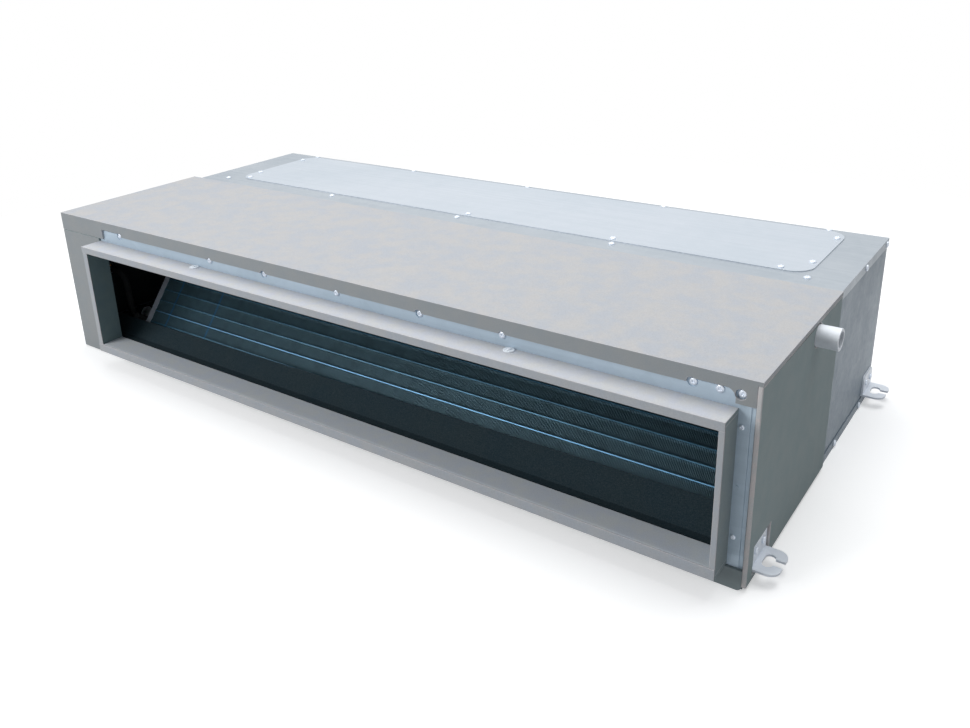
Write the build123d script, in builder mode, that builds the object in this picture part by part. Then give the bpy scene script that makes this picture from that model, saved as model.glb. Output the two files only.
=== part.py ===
from build123d import *
from math import cos, radians, sin
import os

# Slim ducted air conditioner indoor unit, in millimetres.
# X runs to the right as seen from the outlet, Y from outlet to return air, Z up.
# The origin is at the middle of the underside.

# Casing
case_w = 1130.0
case_d = 508.0
case_h = 230.0
sheet = 1.2
foam_t = 5.0
foam_depth = 265.0
deck_depth = 288.0
flange_w = 18.0
lip_h = 12.0
inlet_out = 24.0

# Outlet collar, measured over its insulation
collar_out = 36.0
collar_left = -473.0
collar_right = 548.0
collar_low = 26.0
collar_high = 202.0
collar_foam = 5.0
collar_lining = 4.0
sill_t = 6.8
collar_flange = 12.0
flange_gap = 0.6
rim_t = 2.0
clinch_r = 1.6
clinch_h = 0.8

# Front edge of the top panel and its foam
lip_mid_h = 9.2
tab_h = 23.0
tab_left_w = 97.0
tab_right_w = 19.0
band_h = 18.0
band_t = 3.0
notch_r = 5.6
notch_shift = 0.8
head_gap = 0.2
bare_left = (-462.0, -412.0)
bare_right = 497.0
bare_high = 222.0
bare_corner_x = 534.5
bare_corner_r = 10.4

# Bottom cover of the coil section
pan_lip_h = 24.0
pan_lip_t = 4.0
pan_corner_r = 5.0

# Fan access cover
cover_w = 1021.0
cover_d = 186.0
cover_mid_x = 7.0
cover_inset = 9.0
cover_corner_r = 28.0
cover_margin = 16.0
cover_rim = 8.0
cover_near_share = 0.2
cover_far_share = 0.12

# Screws
screw_r = 1.9
screw_hole_r = 2.2
screw_head_r = 4.2
screw_head_h = 2.4
small_head_r = 2.8
small_head_h = 1.7
head_rim_share = 0.4
head_taper = 40
shank_l = 5.0

# Push plugs in the collar's insulation
button_r = 6.5
button_t = 1.0
button_dome_r = 2.2
button_dome_h = 1.2
button_stem_r = 1.6
button_back = 8.0
button_xs = (-238.0, 294.0)

# Hanging hooks
hook_reach = 29.0
hook_w = 46.0
hook_t = 2.5
hook_low = 14.0
hook_leg_h = 29.0
hook_corner_r = 12.0
leg_corner_r = 8.0
hook_front = 38.0
hook_pitch = 445.0
slot_r = 5.5
slot_l = 22.0
mouth_w = 10.5
slot_reach = 13.5
leg_screw_gap = 22.0
leg_screw_z = 31.0
foam_gap = 2.0

# Coil
coil_left = -450.0
coil_right = 512.0
coil_front = 42.0
coil_low = 45.0
coil_tilt = 39.2
tube_pitch = 19.0
tubes_high = 12
coil_rows = 3
row_pitch = 14.6
tube_r = 3.5
tube_clear = 0.15
end_plate_t = 1.5
end_plate_lip = 11.0
bend_gap = 1.0
gas_header_r = 8.0
liquid_header_r = 6.0
header_over = 4.0
joint_gap = 0.1
pipe_end_gap = 0.5
header_x = -483.0
gas_pipe_r = 7.9
liquid_pipe_r = 4.8
pipe_bend_r = 20.0
pipe_turn_x = -522.0
gas_port_y = 110.0
gas_port_z = 165.0
liquid_port_y = 60.0
liquid_port_z = 120.0
gas_thread_r = 11.1
liquid_thread_r = 7.9
union_hex_l = 8.0
union_reach = 28.0
union_wall = 2.6
union_hex_over = 3.0

# Drain pan and drain
pan_side_gap = 2.0
pan_front_gap = 4.0
pan_rear_gap = 3.0
pan_wall = 10.0
pan_floor = 9.0
pan_height = 36.0
ledge_d = 24.0
ledge_left_h = 53.1
ledge_right_h = 65.8
rib_shares = (0.02, 0.34, 0.66, 0.96)
rib_w = 6.0
rib_d = 20.0
spout_y = 174.0
spout_z = 215.0
spout_r = 12.5
spout_bore_r = 9.5
spout_reach = 28.0
spout_flange_r = 13.7
spout_flange_t = 3.0
hose_r = 9.0
hose_bore_r = 7.0
hose_bend_r = 16.0
panel_hole_clear = 0.9
gravity_y = 110.0
gravity_r = 11.0
gravity_shoulder_r = 12.5
gravity_rise = 1.0
gravity_bore_r = 8.5
gravity_reach = 26.0
plug_l = 12.0
plug_head_t = 3.0
plug_head_in = 2.0
plug_clear = 0.1

# Drain pump and float switch
pump_x = 539.0
pump_y = 236.0
pump_r = 22.0
pump_low = 40.0
pump_h = 62.0
chamber_h = 22.0
chamber_r = 18.0
chamber_floor = 3.0
pump_round = 4.0
suction_r = 8.0
suction_low = 13.0
suction_wall = 2.5
spigot_r = 7.0
spigot_bore_r = 5.0
spigot_l = 10.0
spigot_up = 2.0
impeller_r = 15.0
impeller_h = 12.0
impeller_shaft_r = 2.0
impeller_clear = 3.0
impeller_disc_t = 1.5
impeller_shaft_l = 12.0
shaft_end_gap = 2.0
vane_t = 1.2
vane_count = 6
shaft_clear = 0.05
float_x = 545.0
float_y = 128.0
float_stem_r = 3.0
float_r = 10.0
float_h = 12.0
float_low = 16.0
float_clear = 0.4
float_round = 2.0
float_stop_r = 6.0
float_stop_gap = 1.0
float_bracket_z = 62.0
bracket_t = 2.0
bracket_up = 22.0
pump_rim = 4.0
pump_seat_gap = 0.2
bracket_drop = 16.0

# Fans
fan_mid_x = 31.0
fan_pitch = 480.0
scroll_w = 250.0
scroll_wall = 2.0
scroll_mid = 100.0
scroll_mid_z = 107.0
scroll_start_r = 74.0
scroll_end_r = 98.0
scroll_tongue = 12.0
inlet_r = 50.0
inlet_lip = 4.0
wheel_r = 65.0
wheel_in_r = 55.0
wheel_w = 218.0
wheel_ring_w = 4.0
wheel_ring_in = 57.0
blade_count = 36
blade_t = 0.9
blade_bend_r = 7.5
blade_mid = (-1, 7)
hub_r = 14.0
hub_l = 30.0
disc_t = 2.0

# Motor
motor_r = 50.0
motor_l = 92.0
motor_wall = 4.0
boss_r = 20.0
boss_l = 15.0
shaft_r = 6.35
rotor_r = 27.0
shaft_over = 6.0
shaft_chamfer = 1.0
stator_in_r = 27.6
core_l = 56.0
ring_r = 28.0
ring_w = 12.0
cradle_w = 76.0
cradle_t = 4.0
base_t = 2.5
strap_t = 2.5
strap_ear = 12.0
stator_clear = 0.2
ring_clear = 0.1

# Electrical box
box_left_gap = 4.0
box_w = 78.0
box_front = 306.0
box_back = 496.0
box_low = 24.0
box_high = 206.0
box_wall = 1.5
board_t = 1.6
board_gap = 8.0
board_side_gap = 3.0
board_low_gap = 14.0
board_high_gap = 6.0
post_r = 3.0
post_in = 6.0
post_up = 20.0
terminal_w = 90.0
terminal_h = 22.0
terminal_d = 18.0
terminal_gap = 4.0
terminal_end = 2.0
terminal_step = 8.0
door_margin = 10.0
door_lap = 12.0
door_rise = 19.0
gland_r = 10.0
gland_bore_r = 5.0
gland_pitch = 34.0
gland_t = 9.0
gland_groove = 3.0
gland_rim = 3.0
gland_up = 26.0

# Return-air side
rear_open_left = -455.0
rear_open_right = 545.0
rear_open_low = 26.0
rear_open_high = 204.0
rail_lap = 10.0
rail_groove = 8.0
rail_back = 3.0
filter_t = 6.0
filter_bar = 9.0
filter_slack = 1.0
filter_mid_gap = 1.0
mesh_t = 1.2

# Lining of the coil chamber
lining_t = 4.0
wall_lining_t = 2.0
lining_hole_gap = 2.0

# Places worked out from the sizes above
side_x = case_w / 2
front_y = -(case_d + inlet_out - collar_out) / 2
rear_y = front_y + case_d
foam_y = front_y + foam_depth
deck_y = front_y + deck_depth
panel_x = side_x - sheet
face_y = front_y - sheet
under_top = case_h - sheet
lip_low = case_h - lip_mid_h
tab_low = case_h - tab_h
tab_left_x = -side_x + tab_left_w
tab_right_x = side_x - tab_right_w
duct_left = collar_left + collar_foam
duct_right = collar_right - collar_foam
duct_low = collar_low + collar_foam
duct_high = collar_high - collar_foam
mouth_left = duct_left + sheet + collar_lining
mouth_right = duct_right - sheet
mouth_low = duct_low + sheet + sill_t
mouth_high = duct_high - sheet - collar_lining
collar_y = front_y - collar_out
cover_left = cover_mid_x - cover_w / 2
cover_right = cover_mid_x + cover_w / 2
cover_back = rear_y - cover_inset
cover_front = cover_back - cover_d
through = 4 * foam_t
gravity_z = pan_floor + gravity_shoulder_r + gravity_rise


def slab(x0, x1, y0, y1, z0, z1, mode=Mode.ADD):
    """Add or cut one rectangular block between the given corners."""
    with BuildSketch(Plane.XY.offset(z0)) as base:
        with Locations(((x0 + x1) / 2, (y0 + y1) / 2)):
            Rectangle(x1 - x0, y1 - y0)
    extrude(base.sketch, amount=z1 - z0, mode=mode)


def rod(plane, radius, length, mode=Mode.ADD):
    """Add or cut one round bar that stands on a plane."""
    with BuildSketch(plane) as base:
        Circle(radius)
    extrude(base.sketch, amount=length, mode=mode)


def finish(part, name):
    """Label a finished piece and write it out."""
    part.label = name
    export_step(part, f"parts/{name}.step")


os.makedirs("parts", exist_ok=True)

# Screw places on the top: cover rim, rear edge, and the row into the fan deck
row_y = deck_y + flange_w * 0.75
rear_edge = 4.5
screw_span = 245.0
row_span = 259.7
rim_y0 = cover_front + cover_rim
rim_y1 = cover_back - cover_rim
rim_x0 = cover_left + cover_rim
rim_x1 = cover_right - cover_rim
cover_points = [(cover_mid_x + step * screw_span, rim_y0) for step in (-2, 0, 1)]
cover_points += [(rim_x1 - cover_corner_r, rim_y0)]
cover_points += [(x, rim_y0 + cover_d * cover_near_share) for x in (rim_x0, rim_x1)]
cover_points += [(x, rim_y1 - cover_d * cover_far_share) for x in (rim_x0, rim_x1)]
edge_points = [(step * screw_span, rear_y - rear_edge) for step in (-2, -1, 0, 1, 2)]
row_points = [(step * row_span, row_y) for step in (-2, -1, 0, 1, 2)]
top_points = cover_points + edge_points + row_points

# Screw places on the front: sunk and plain ones in the top row, two small ones on the right
front_row_z = 215.4
end_row_z = 217.2
sunk_points = [(-420.0, end_row_z), (-98.0, front_row_z), (166.0, front_row_z)]
sunk_points += [(502.0, end_row_z), (550.5, end_row_z)]
plain_points = [(-208.5, front_row_z), (33.5, front_row_z), (282.0, front_row_z), (529.0, end_row_z)]
side_screw_x = collar_right + 4.2
small_points = [(side_screw_x, 182.3), (side_screw_x, 59.0)]
clinch_z = 116.6
front_points = sunk_points + plain_points + small_points

# Hook places along each side
hook_ys = [front_y + hook_front, front_y + hook_front + hook_pitch]

# Screw places on the sides: bottom lip, top lip and panel
lip_ys = [rear_y - 60.0, rear_y - 180.0]
top_lip_ys = [rear_y - 10.0, rear_y - 118.0]
leg_points = [(y + side * leg_screw_gap / 2, leg_screw_z) for y in hook_ys for side in (-1, 1)]
side_points = [(y, lip_h / 2) for y in lip_ys]
side_points += [(y, case_h - lip_h / 2) for y in top_lip_ys]


def drill_top(points):
    """Cut screw holes straight down through the top sheets."""
    for x, y in points:
        rod(Plane(origin=(x, y, case_h - through)), screw_hole_r, 2 * through, Mode.SUBTRACT)


def drill_front(points):
    """Cut screw holes through the front sheets."""
    for x, z in points:
        start = Plane(origin=(x, front_y - through / 2, z), x_dir=(1, 0, 0), z_dir=(0, 1, 0))
        rod(start, screw_hole_r, through, Mode.SUBTRACT)


def cut_notches():
    """Cut the wide holes round the heads of the sunk front screws."""
    for x, z in sunk_points:
        start = Plane(origin=(x - notch_shift, face_y - band_t, z), x_dir=(1, 0, 0), z_dir=(0, 1, 0))
        rod(start, notch_r, band_t + sheet, Mode.SUBTRACT)


def drill_side(side, points):
    """Cut screw holes through the sheets of one side."""
    for y, z in points:
        start = Plane(origin=(side * (side_x - through / 2), y, z), x_dir=(0, 1, 0), z_dir=(side, 0, 0))
        rod(start, screw_hole_r, through, Mode.SUBTRACT)


def side_hole(side, y, z, radius):
    """Cut one round hole through a side panel and its foam."""
    start = Plane(origin=(side * (side_x - through), y, z), x_dir=(0, 1, 0), z_dir=(side, 0, 0))
    rod(start, radius, 2 * through, Mode.SUBTRACT)


# Bottom panel of the fan section: plate with a lip up each side, outside the side panels
with BuildPart() as bottom_panel:
    slab(-side_x - sheet, side_x + sheet, foam_y, rear_y, 0, sheet)
    for side in (-1, 1):
        lip_x = sorted((side * side_x, side * (side_x + sheet)))
        slab(*lip_x, foam_y, rear_y, sheet, lip_h)
        drill_side(side, side_points)
finish(bottom_panel.part, "bottom_panel")

# Bottom cover of the coil section: plate with a thick front lip, its lower right corner rounded
with BuildPart() as bottom_cover:
    slab(-side_x, side_x, front_y, foam_y, 0, sheet)
    lip_plane = Plane(origin=(0, front_y, 0), x_dir=(1, 0, 0), z_dir=(0, -1, 0))
    with BuildSketch(lip_plane):
        with Locations(((collar_left + side_x) / 2, pan_lip_h / 2)):
            Rectangle(side_x - collar_left, pan_lip_h)
        fillet(vertices().group_by(Axis.Y)[0].sort_by(Axis.X)[-1], pan_corner_r)
    extrude(amount=pan_lip_t)
finish(bottom_cover.part, "bottom_cover")

# Openings in the side panels
left_holes = [
    (front_y + gas_port_y, gas_port_z, gas_thread_r),
    (front_y + liquid_port_y, liquid_port_z, liquid_thread_r),
    (front_y + gravity_y, gravity_z, gravity_r),
]
right_holes = [(front_y + spout_y, spout_z, spout_r)]
door_y0 = front_y + box_front + door_margin
door_y1 = front_y + box_back - door_margin
door_z0 = hook_low + hook_leg_h + door_rise
door_z1 = box_high - door_margin


def side_panel(side):
    """Make one side panel, its four edges folded inwards."""
    holes = left_holes if side < 0 else right_holes
    skin_x = sorted((side * panel_x, side * side_x))
    fold_x = sorted((side * (side_x - flange_w), side * panel_x))
    top_fold_x = sorted((side * (side_x - lip_h), side * panel_x))
    with BuildPart() as panel:
        slab(*skin_x, front_y, rear_y, sheet, under_top)
        slab(*fold_x, front_y + sheet, front_y + 2 * sheet, sheet, under_top)
        slab(*fold_x, rear_y - 2 * sheet, rear_y - sheet, sheet, under_top)
        slab(*top_fold_x, front_y + 2 * sheet, rear_y - 2 * sheet, under_top - sheet, under_top)
        slab(*top_fold_x, front_y + 2 * sheet, rear_y - 2 * sheet, sheet, 2 * sheet)
        for y, z, radius in holes:
            side_hole(side, y, z, radius + panel_hole_clear)
        if side > 0:
            slab(
                side_x - lip_h, panel_x, front_y + spout_y - spout_flange_r - foam_gap,
                front_y + spout_y + spout_flange_r + foam_gap, under_top - sheet, under_top, Mode.SUBTRACT,
            )
        drill_side(side, side_points + leg_points)
        drill_front(front_points)
        drill_top(top_points)
        if side < 0:
            slab(*skin_x, door_y0, door_y1, door_z0, door_z1, Mode.SUBTRACT)
    return panel.part


finish(side_panel(-1), "left_side_panel")
finish(side_panel(1), "right_side_panel")

# Front panel: flat frame between the side panels, with the outlet opening
with BuildPart() as front_panel:
    slab(-panel_x, panel_x, front_y, front_y + sheet, sheet, under_top)
    slab(
        duct_left + sheet, duct_right - sheet, front_y, front_y + sheet,
        duct_low + sheet, duct_high - sheet, Mode.SUBTRACT,
    )
    drill_front(front_points)
finish(front_panel.part, "front_panel")

# Outlet collar: rectangular duct with a flange turned out against the front panel
with BuildPart() as outlet_collar:
    slab(duct_left, duct_right, collar_y + rim_t, front_y, duct_low, duct_high)
    slab(
        collar_left - collar_flange, collar_right + collar_flange, face_y, front_y,
        pan_lip_h + flange_gap, tab_low - flange_gap,
    )
    slab(
        tab_left_x + flange_gap, tab_right_x - flange_gap, face_y, front_y,
        tab_low - flange_gap, lip_low - flange_gap,
    )
    clinch = Plane(origin=(side_screw_x, face_y, clinch_z), x_dir=(1, 0, 0), z_dir=(0, -1, 0))
    rod(clinch, clinch_r, clinch_h)
    slab(
        duct_left + sheet, duct_right - sheet, collar_y, front_y,
        duct_low + sheet, duct_high - sheet, Mode.SUBTRACT,
    )
    drill_front(front_points)
    cut_notches()
finish(outlet_collar.part, "outlet_collar")

# Collar insulation: foam around the duct, turned in over its front rim
with BuildPart() as collar_insulation:
    slab(collar_left, collar_right, collar_y, face_y, collar_low, collar_high)
    slab(duct_left, duct_right, collar_y + rim_t, face_y, duct_low, duct_high, Mode.SUBTRACT)
    slab(mouth_left, mouth_right, collar_y, face_y, mouth_low, mouth_high, Mode.SUBTRACT)
    for x in button_xs:
        stem_hole = Plane(origin=(x, front_y - button_back, duct_high))
        rod(stem_hole, button_stem_r + head_gap, collar_foam, Mode.SUBTRACT)
finish(collar_insulation.part, "collar_insulation")

# Collar lining: dark foam inside the top and the left of the duct
with BuildPart() as collar_inner_lining:
    slab(duct_left + sheet, mouth_left, collar_y + rim_t, front_y, mouth_low, duct_high - sheet)
    slab(mouth_left, mouth_right, collar_y + rim_t, front_y, mouth_high, duct_high - sheet)
finish(collar_inner_lining.part, "collar_inner_lining")

# Collar sill: pale foam along the bottom of the duct
with BuildPart() as collar_sill:
    slab(
        duct_left + sheet, duct_right - sheet, collar_y + rim_t, front_y + sheet,
        duct_low + sheet, mouth_low,
    )
finish(collar_sill.part, "collar_sill")

# Top panel: sheet with an opening under the access cover, a front lip with deeper end
# tabs, lips down both sides of the fan section and a lip down the back
with BuildPart() as top_panel:
    slab(-side_x - sheet, side_x + sheet, face_y, rear_y + sheet, under_top, case_h)
    slab(-side_x, side_x, face_y, front_y, lip_low, under_top)
    tab_plane = Plane(origin=(0, front_y, 0), x_dir=(1, 0, 0), z_dir=(0, -1, 0))
    with BuildSketch(tab_plane):
        for x0, x1 in ((-side_x, tab_left_x), (tab_right_x, side_x)):
            with Locations(((x0 + x1) / 2, (tab_low + under_top) / 2)):
                Rectangle(x1 - x0, under_top - tab_low)
    extrude(amount=sheet)
    for side in (-1, 1):
        lip_x = sorted((side * side_x, side * (side_x + sheet)))
        slab(*lip_x, foam_y, rear_y + sheet, case_h - lip_h, under_top)
        slab(*lip_x, face_y, foam_y, under_top, case_h, Mode.SUBTRACT)
    slab(-side_x, side_x, rear_y, rear_y + sheet, case_h - lip_h, under_top)
    slab(
        cover_left + cover_margin, cover_right - cover_margin,
        cover_front + cover_margin, cover_back - cover_margin, under_top, case_h, Mode.SUBTRACT,
    )
    drill_top(top_points)
    drill_front(front_points)
    cut_notches()
    for side in (-1, 1):
        drill_side(side, side_points)
finish(top_panel.part, "top_panel")

# Top insulation: foam sheet over the coil section, folded down over the front edge and deeper
# at both ends, cut away round the front screws and in a rounded corner at the right
band_low = case_h - band_h + foam_t
bare_corner_z = bare_high - bare_corner_r
with BuildPart() as top_insulation:
    slab(-side_x - foam_t, side_x + foam_t, face_y - band_t, foam_y, case_h, case_h + foam_t)
    slab(-side_x - foam_t, side_x, face_y - band_t, face_y, band_low, case_h)
    slab(-side_x - foam_t, bare_left[0], face_y - band_t, face_y, tab_low, band_low)
    slab(bare_corner_x, side_x, face_y - band_t, face_y, tab_low, band_low)
    slab(*bare_left, face_y - band_t, face_y, band_low, bare_high, Mode.SUBTRACT)
    slab(bare_right, bare_corner_x, face_y - band_t, face_y, band_low, bare_high, Mode.SUBTRACT)
    slab(
        bare_corner_x, bare_corner_x + bare_corner_r, face_y - band_t, face_y,
        tab_low, bare_corner_z, Mode.SUBTRACT,
    )
    corner = Plane(origin=(bare_corner_x, face_y - band_t, bare_corner_z), x_dir=(1, 0, 0), z_dir=(0, 1, 0))
    rod(corner, bare_corner_r, band_t, Mode.SUBTRACT)
    cut_notches()
    for x, z in plain_points:
        head = Plane(origin=(x, face_y - band_t, z), x_dir=(1, 0, 0), z_dir=(0, 1, 0))
        rod(head, screw_head_r + head_gap, band_t, Mode.SUBTRACT)
finish(top_insulation.part, "top_insulation")


def side_insulation(side):
    """Make one foam sheet of the coil section's sides; the left one folds round on to the front."""
    foam_x = sorted((side * side_x, side * (side_x + foam_t)))
    holes = left_holes if side < 0 else right_holes
    foam_front = face_y if side < 0 else face_y - band_t
    with BuildPart() as foam:
        slab(*foam_x, foam_front, foam_y, foam_t, case_h)
        if side < 0:
            slab(
                -side_x - foam_t, collar_left - flange_gap, face_y - band_t, face_y,
                sheet, tab_low - flange_gap,
            )
        slab(
            *foam_x, hook_ys[0] - hook_w / 2 - foam_gap, hook_ys[0] + hook_w / 2 + foam_gap,
            hook_low - foam_gap, hook_low + hook_leg_h + foam_gap, Mode.SUBTRACT,
        )
        for y, z, radius in holes:
            side_hole(side, y, z, radius + panel_hole_clear)
    return foam.part


finish(side_insulation(-1), "left_side_insulation")
finish(side_insulation(1), "right_side_insulation")

# Fan access cover: flat lid with rounded corners, screwed on the top panel
with BuildPart() as fan_access_cover:
    with BuildSketch(Plane.XY.offset(case_h)):
        with Locations((cover_mid_x, (cover_front + cover_back) / 2)):
            RectangleRounded(cover_w, cover_d, cover_corner_r)
    extrude(amount=sheet)
    drill_top(cover_points)
finish(fan_access_cover.part, "fan_access_cover")

# Rear panel: flat frame with the return-air opening
with BuildPart() as rear_panel:
    slab(-panel_x, panel_x, rear_y - sheet, rear_y, sheet, under_top)
    slab(
        rear_open_left, rear_open_right, rear_y - sheet, rear_y,
        rear_open_low, rear_open_high, Mode.SUBTRACT,
    )
    slab(
        -panel_x + flange_w, panel_x - flange_w, rear_y - lip_h, rear_y - sheet,
        under_top - sheet, under_top,
    )
    drill_top(top_points)
finish(rear_panel.part, "rear_panel")

# Filter rails: two channels on the rear panel, each with a groove and a duct flange
groove_y = rear_y + rail_back
with BuildPart() as filter_rails:
    for turn in (-1, 1):
        edge_z = rear_open_low if turn < 0 else rear_open_high
        rail_plane = Plane(origin=(rear_open_left - rail_lap, 0, edge_z), x_dir=(0, 1, 0), z_dir=(1, 0, 0))
        with BuildSketch(rail_plane):
            with BuildLine():
                Polyline(
                    (rear_y, 0),
                    (groove_y, 0),
                    (groove_y, turn * rail_lap),
                    (groove_y + rail_groove, turn * rail_lap),
                    (groove_y + rail_groove, 0),
                    (groove_y + rail_groove + sheet, 0),
                    (groove_y + rail_groove + sheet, turn * rail_lap),
                    (rear_y + inlet_out, turn * rail_lap),
                    (rear_y + inlet_out, turn * (rail_lap + sheet)),
                    (rear_y, turn * (rail_lap + sheet)),
                    close=True,
                )
            make_face()
        extrude(amount=rear_open_right - rear_open_left + 2 * rail_lap)
finish(filter_rails.part, "filter_rails")

# Air filters: two framed meshes side by side in the rails
filter_low = rear_open_low - rail_lap + filter_slack
filter_high = rear_open_high + rail_lap - filter_slack
filter_y = groove_y + (rail_groove - filter_t) / 2
filter_mid_x = (rear_open_left + rear_open_right) / 2
filter_w = (rear_open_right - rear_open_left) / 2 + rail_lap - filter_mid_gap / 2


def filter_span(side):
    """Give the X range of one filter."""
    near = filter_mid_x + side * filter_mid_gap / 2
    return sorted((near, near + side * filter_w))


def filter_windows(side):
    """Give the X ranges of one filter's two windows."""
    x0, x1 = filter_span(side)
    middle = (x0 + x1) / 2
    return ((x0 + filter_bar, middle - filter_bar / 2), (middle + filter_bar / 2, x1 - filter_bar))


def filter_frame(side):
    """Make one filter's frame with a bar across its middle."""
    x0, x1 = filter_span(side)
    with BuildPart() as frame:
        slab(x0, x1, filter_y, filter_y + filter_t, filter_low, filter_high)
        for w0, w1 in filter_windows(side):
            slab(
                w0, w1, filter_y, filter_y + filter_t,
                filter_low + filter_bar + rail_lap, filter_high - filter_bar - rail_lap, Mode.SUBTRACT,
            )
    return frame.part


def filter_mesh(side):
    """Make the mesh sheets that fill one filter's windows."""
    middle = filter_y + filter_t / 2
    with BuildPart() as mesh:
        for w0, w1 in filter_windows(side):
            slab(
                w0, w1, middle - mesh_t / 2, middle + mesh_t / 2,
                filter_low + filter_bar + rail_lap, filter_high - filter_bar - rail_lap,
            )
    return mesh.part


for side, word in ((-1, "left"), (1, "right")):
    finish(filter_frame(side), f"{word}_filter_frame")
    finish(filter_mesh(side), f"{word}_filter_mesh")

# Fan deck: upright partition with one outlet for each blower and a flange under the top
scroll_mid_y = deck_y + scroll_mid
outlet_low = scroll_mid_z - scroll_end_r + scroll_wall
outlet_high = scroll_mid_z - scroll_tongue - scroll_wall
fan_xs = [fan_mid_x - fan_pitch / 2, fan_mid_x + fan_pitch / 2]
with BuildPart() as fan_deck:
    slab(-panel_x + lip_h, panel_x - lip_h, deck_y - sheet, deck_y, 2 * sheet, under_top)
    slab(-panel_x + lip_h, panel_x - lip_h, deck_y, deck_y + flange_w, under_top - sheet, under_top)
    slab(-panel_x + lip_h, panel_x - lip_h, deck_y, deck_y + flange_w, 2 * sheet, 3 * sheet)
    for fan_x in fan_xs:
        half_mouth = scroll_w / 2 - scroll_wall
        slab(
            fan_x - half_mouth, fan_x + half_mouth, deck_y - sheet, deck_y,
            outlet_low, outlet_high, Mode.SUBTRACT,
        )
        slab(
            fan_x - scroll_w / 2 - 1, fan_x + scroll_w / 2 + 1, deck_y, deck_y + flange_w,
            2 * sheet, 3 * sheet, Mode.SUBTRACT,
        )
    drill_top(top_points)
finish(fan_deck.part, "fan_deck")


def scroll_outline(margin):
    """Draw the side view of a blower scroll, shrunk by a margin."""
    grow = scroll_end_r - scroll_start_r
    spiral = []
    for step in range(10):
        turn = step / 9
        reach = scroll_start_r + grow * turn - margin
        angle = radians(180 - 270 * turn)
        spiral.append((scroll_mid_y + reach * cos(angle), scroll_mid_z + reach * sin(angle)))
    mouth_y = deck_y if margin == 0 else deck_y - 1
    low = scroll_mid_z - scroll_end_r + margin
    high = scroll_mid_z - scroll_tongue - margin
    tongue_y = scroll_mid_y - scroll_start_r + margin
    with BuildSketch(Plane.YZ) as outline:
        with BuildLine():
            Spline(*spiral)
            Polyline(spiral[-1], (mouth_y, low), (mouth_y, high), (tongue_y, high))
            Line((tongue_y, high), spiral[0])
        make_face()
    return outline.sketch


def scroll_half(fan_x, keep):
    """Make the upper or lower half of one blower scroll."""
    with BuildPart() as shell:
        outer = scroll_outline(0).moved(Location((fan_x - scroll_w / 2, 0, 0)))
        extrude(outer, amount=scroll_w, dir=(1, 0, 0))
        centre = Plane(origin=(0, scroll_mid_y, scroll_mid_z), x_dir=(0, 1, 0), z_dir=(1, 0, 0))
        with BuildSketch(centre) as lip:
            Circle(inlet_r + scroll_wall)
        for start in (-scroll_w / 2 - inlet_lip, scroll_w / 2):
            extrude(lip.sketch.moved(Location((fan_x + start, 0, 0))), amount=inlet_lip, dir=(1, 0, 0))
        inner = scroll_outline(scroll_wall).moved(Location((fan_x - scroll_w / 2 + scroll_wall, 0, 0)))
        extrude(inner, amount=scroll_w - 2 * scroll_wall, dir=(1, 0, 0), mode=Mode.SUBTRACT)
        hole = Plane(
            origin=(fan_x - scroll_w / 2 - inlet_lip, scroll_mid_y, scroll_mid_z),
            x_dir=(0, 1, 0), z_dir=(1, 0, 0),
        )
        rod(hole, inlet_r, scroll_w + 2 * inlet_lip, Mode.SUBTRACT)
        split(bisect_by=Plane.XY.offset(scroll_mid_z), keep=keep)
    return shell.part


blade_curve = CenterArc(blade_mid, blade_bend_r, 225, 90)


def wheel(fan_x):
    """Make one double-inlet wheel: hub, centre disc, curved blades and end rings."""
    ring_mid = (wheel_r + wheel_in_r) / 2
    with BuildPart() as rotor:
        mid = Plane(origin=(fan_x, scroll_mid_y, scroll_mid_z), x_dir=(0, 1, 0), z_dir=(1, 0, 0))
        with BuildSketch(mid.offset(-disc_t / 2)) as disc:
            Circle(wheel_r)
        extrude(disc.sketch, amount=disc_t)
        with BuildSketch(mid.offset(-hub_l / 2)) as hub:
            Circle(hub_r)
        extrude(hub.sketch, amount=hub_l)
        with BuildSketch(mid.offset(-wheel_w / 2)) as blades:
            with PolarLocations(ring_mid, blade_count):
                SlotArc(blade_curve, blade_t)
        extrude(blades.sketch, amount=wheel_w)
        for start in (-wheel_w / 2, wheel_w / 2 - wheel_ring_w):
            with BuildSketch(mid.offset(start)) as ring:
                Circle(wheel_r)
                Circle(wheel_ring_in, mode=Mode.SUBTRACT)
            extrude(ring.sketch, amount=wheel_ring_w)
        rod(mid.offset(-hub_l / 2), shaft_r + shaft_clear, hub_l, Mode.SUBTRACT)
    return rotor.part


for fan_x, word in zip(fan_xs, ("left", "right")):
    finish(scroll_half(fan_x, Keep.TOP), f"{word}_scroll_upper")
    finish(scroll_half(fan_x, Keep.BOTTOM), f"{word}_scroll_lower")
    finish(wheel(fan_x), f"{word}_blower_wheel")


def motor_plane(offset):
    """Give the plane across the motor's axis at a distance from its middle."""
    return Plane(origin=(fan_mid_x + offset, scroll_mid_y, scroll_mid_z), x_dir=(0, 1, 0), z_dir=(1, 0, 0))


# Motor housing: hollow can with a bearing boss at each end
with BuildPart() as motor_housing:
    rod(motor_plane(-motor_l / 2), motor_r, motor_l)
    fillet(edges().filter_by(GeomType.CIRCLE), motor_wall)
    for start in (-motor_l / 2 - boss_l, motor_l / 2):
        rod(motor_plane(start), boss_r, boss_l)
    inside = motor_l - 2 * motor_wall
    rod(motor_plane(-inside / 2), motor_r - motor_wall, inside, Mode.SUBTRACT)
    rod(motor_plane(-motor_l), shaft_r + shaft_clear, 2 * motor_l, Mode.SUBTRACT)
finish(motor_housing.part, "motor_housing")

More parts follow.
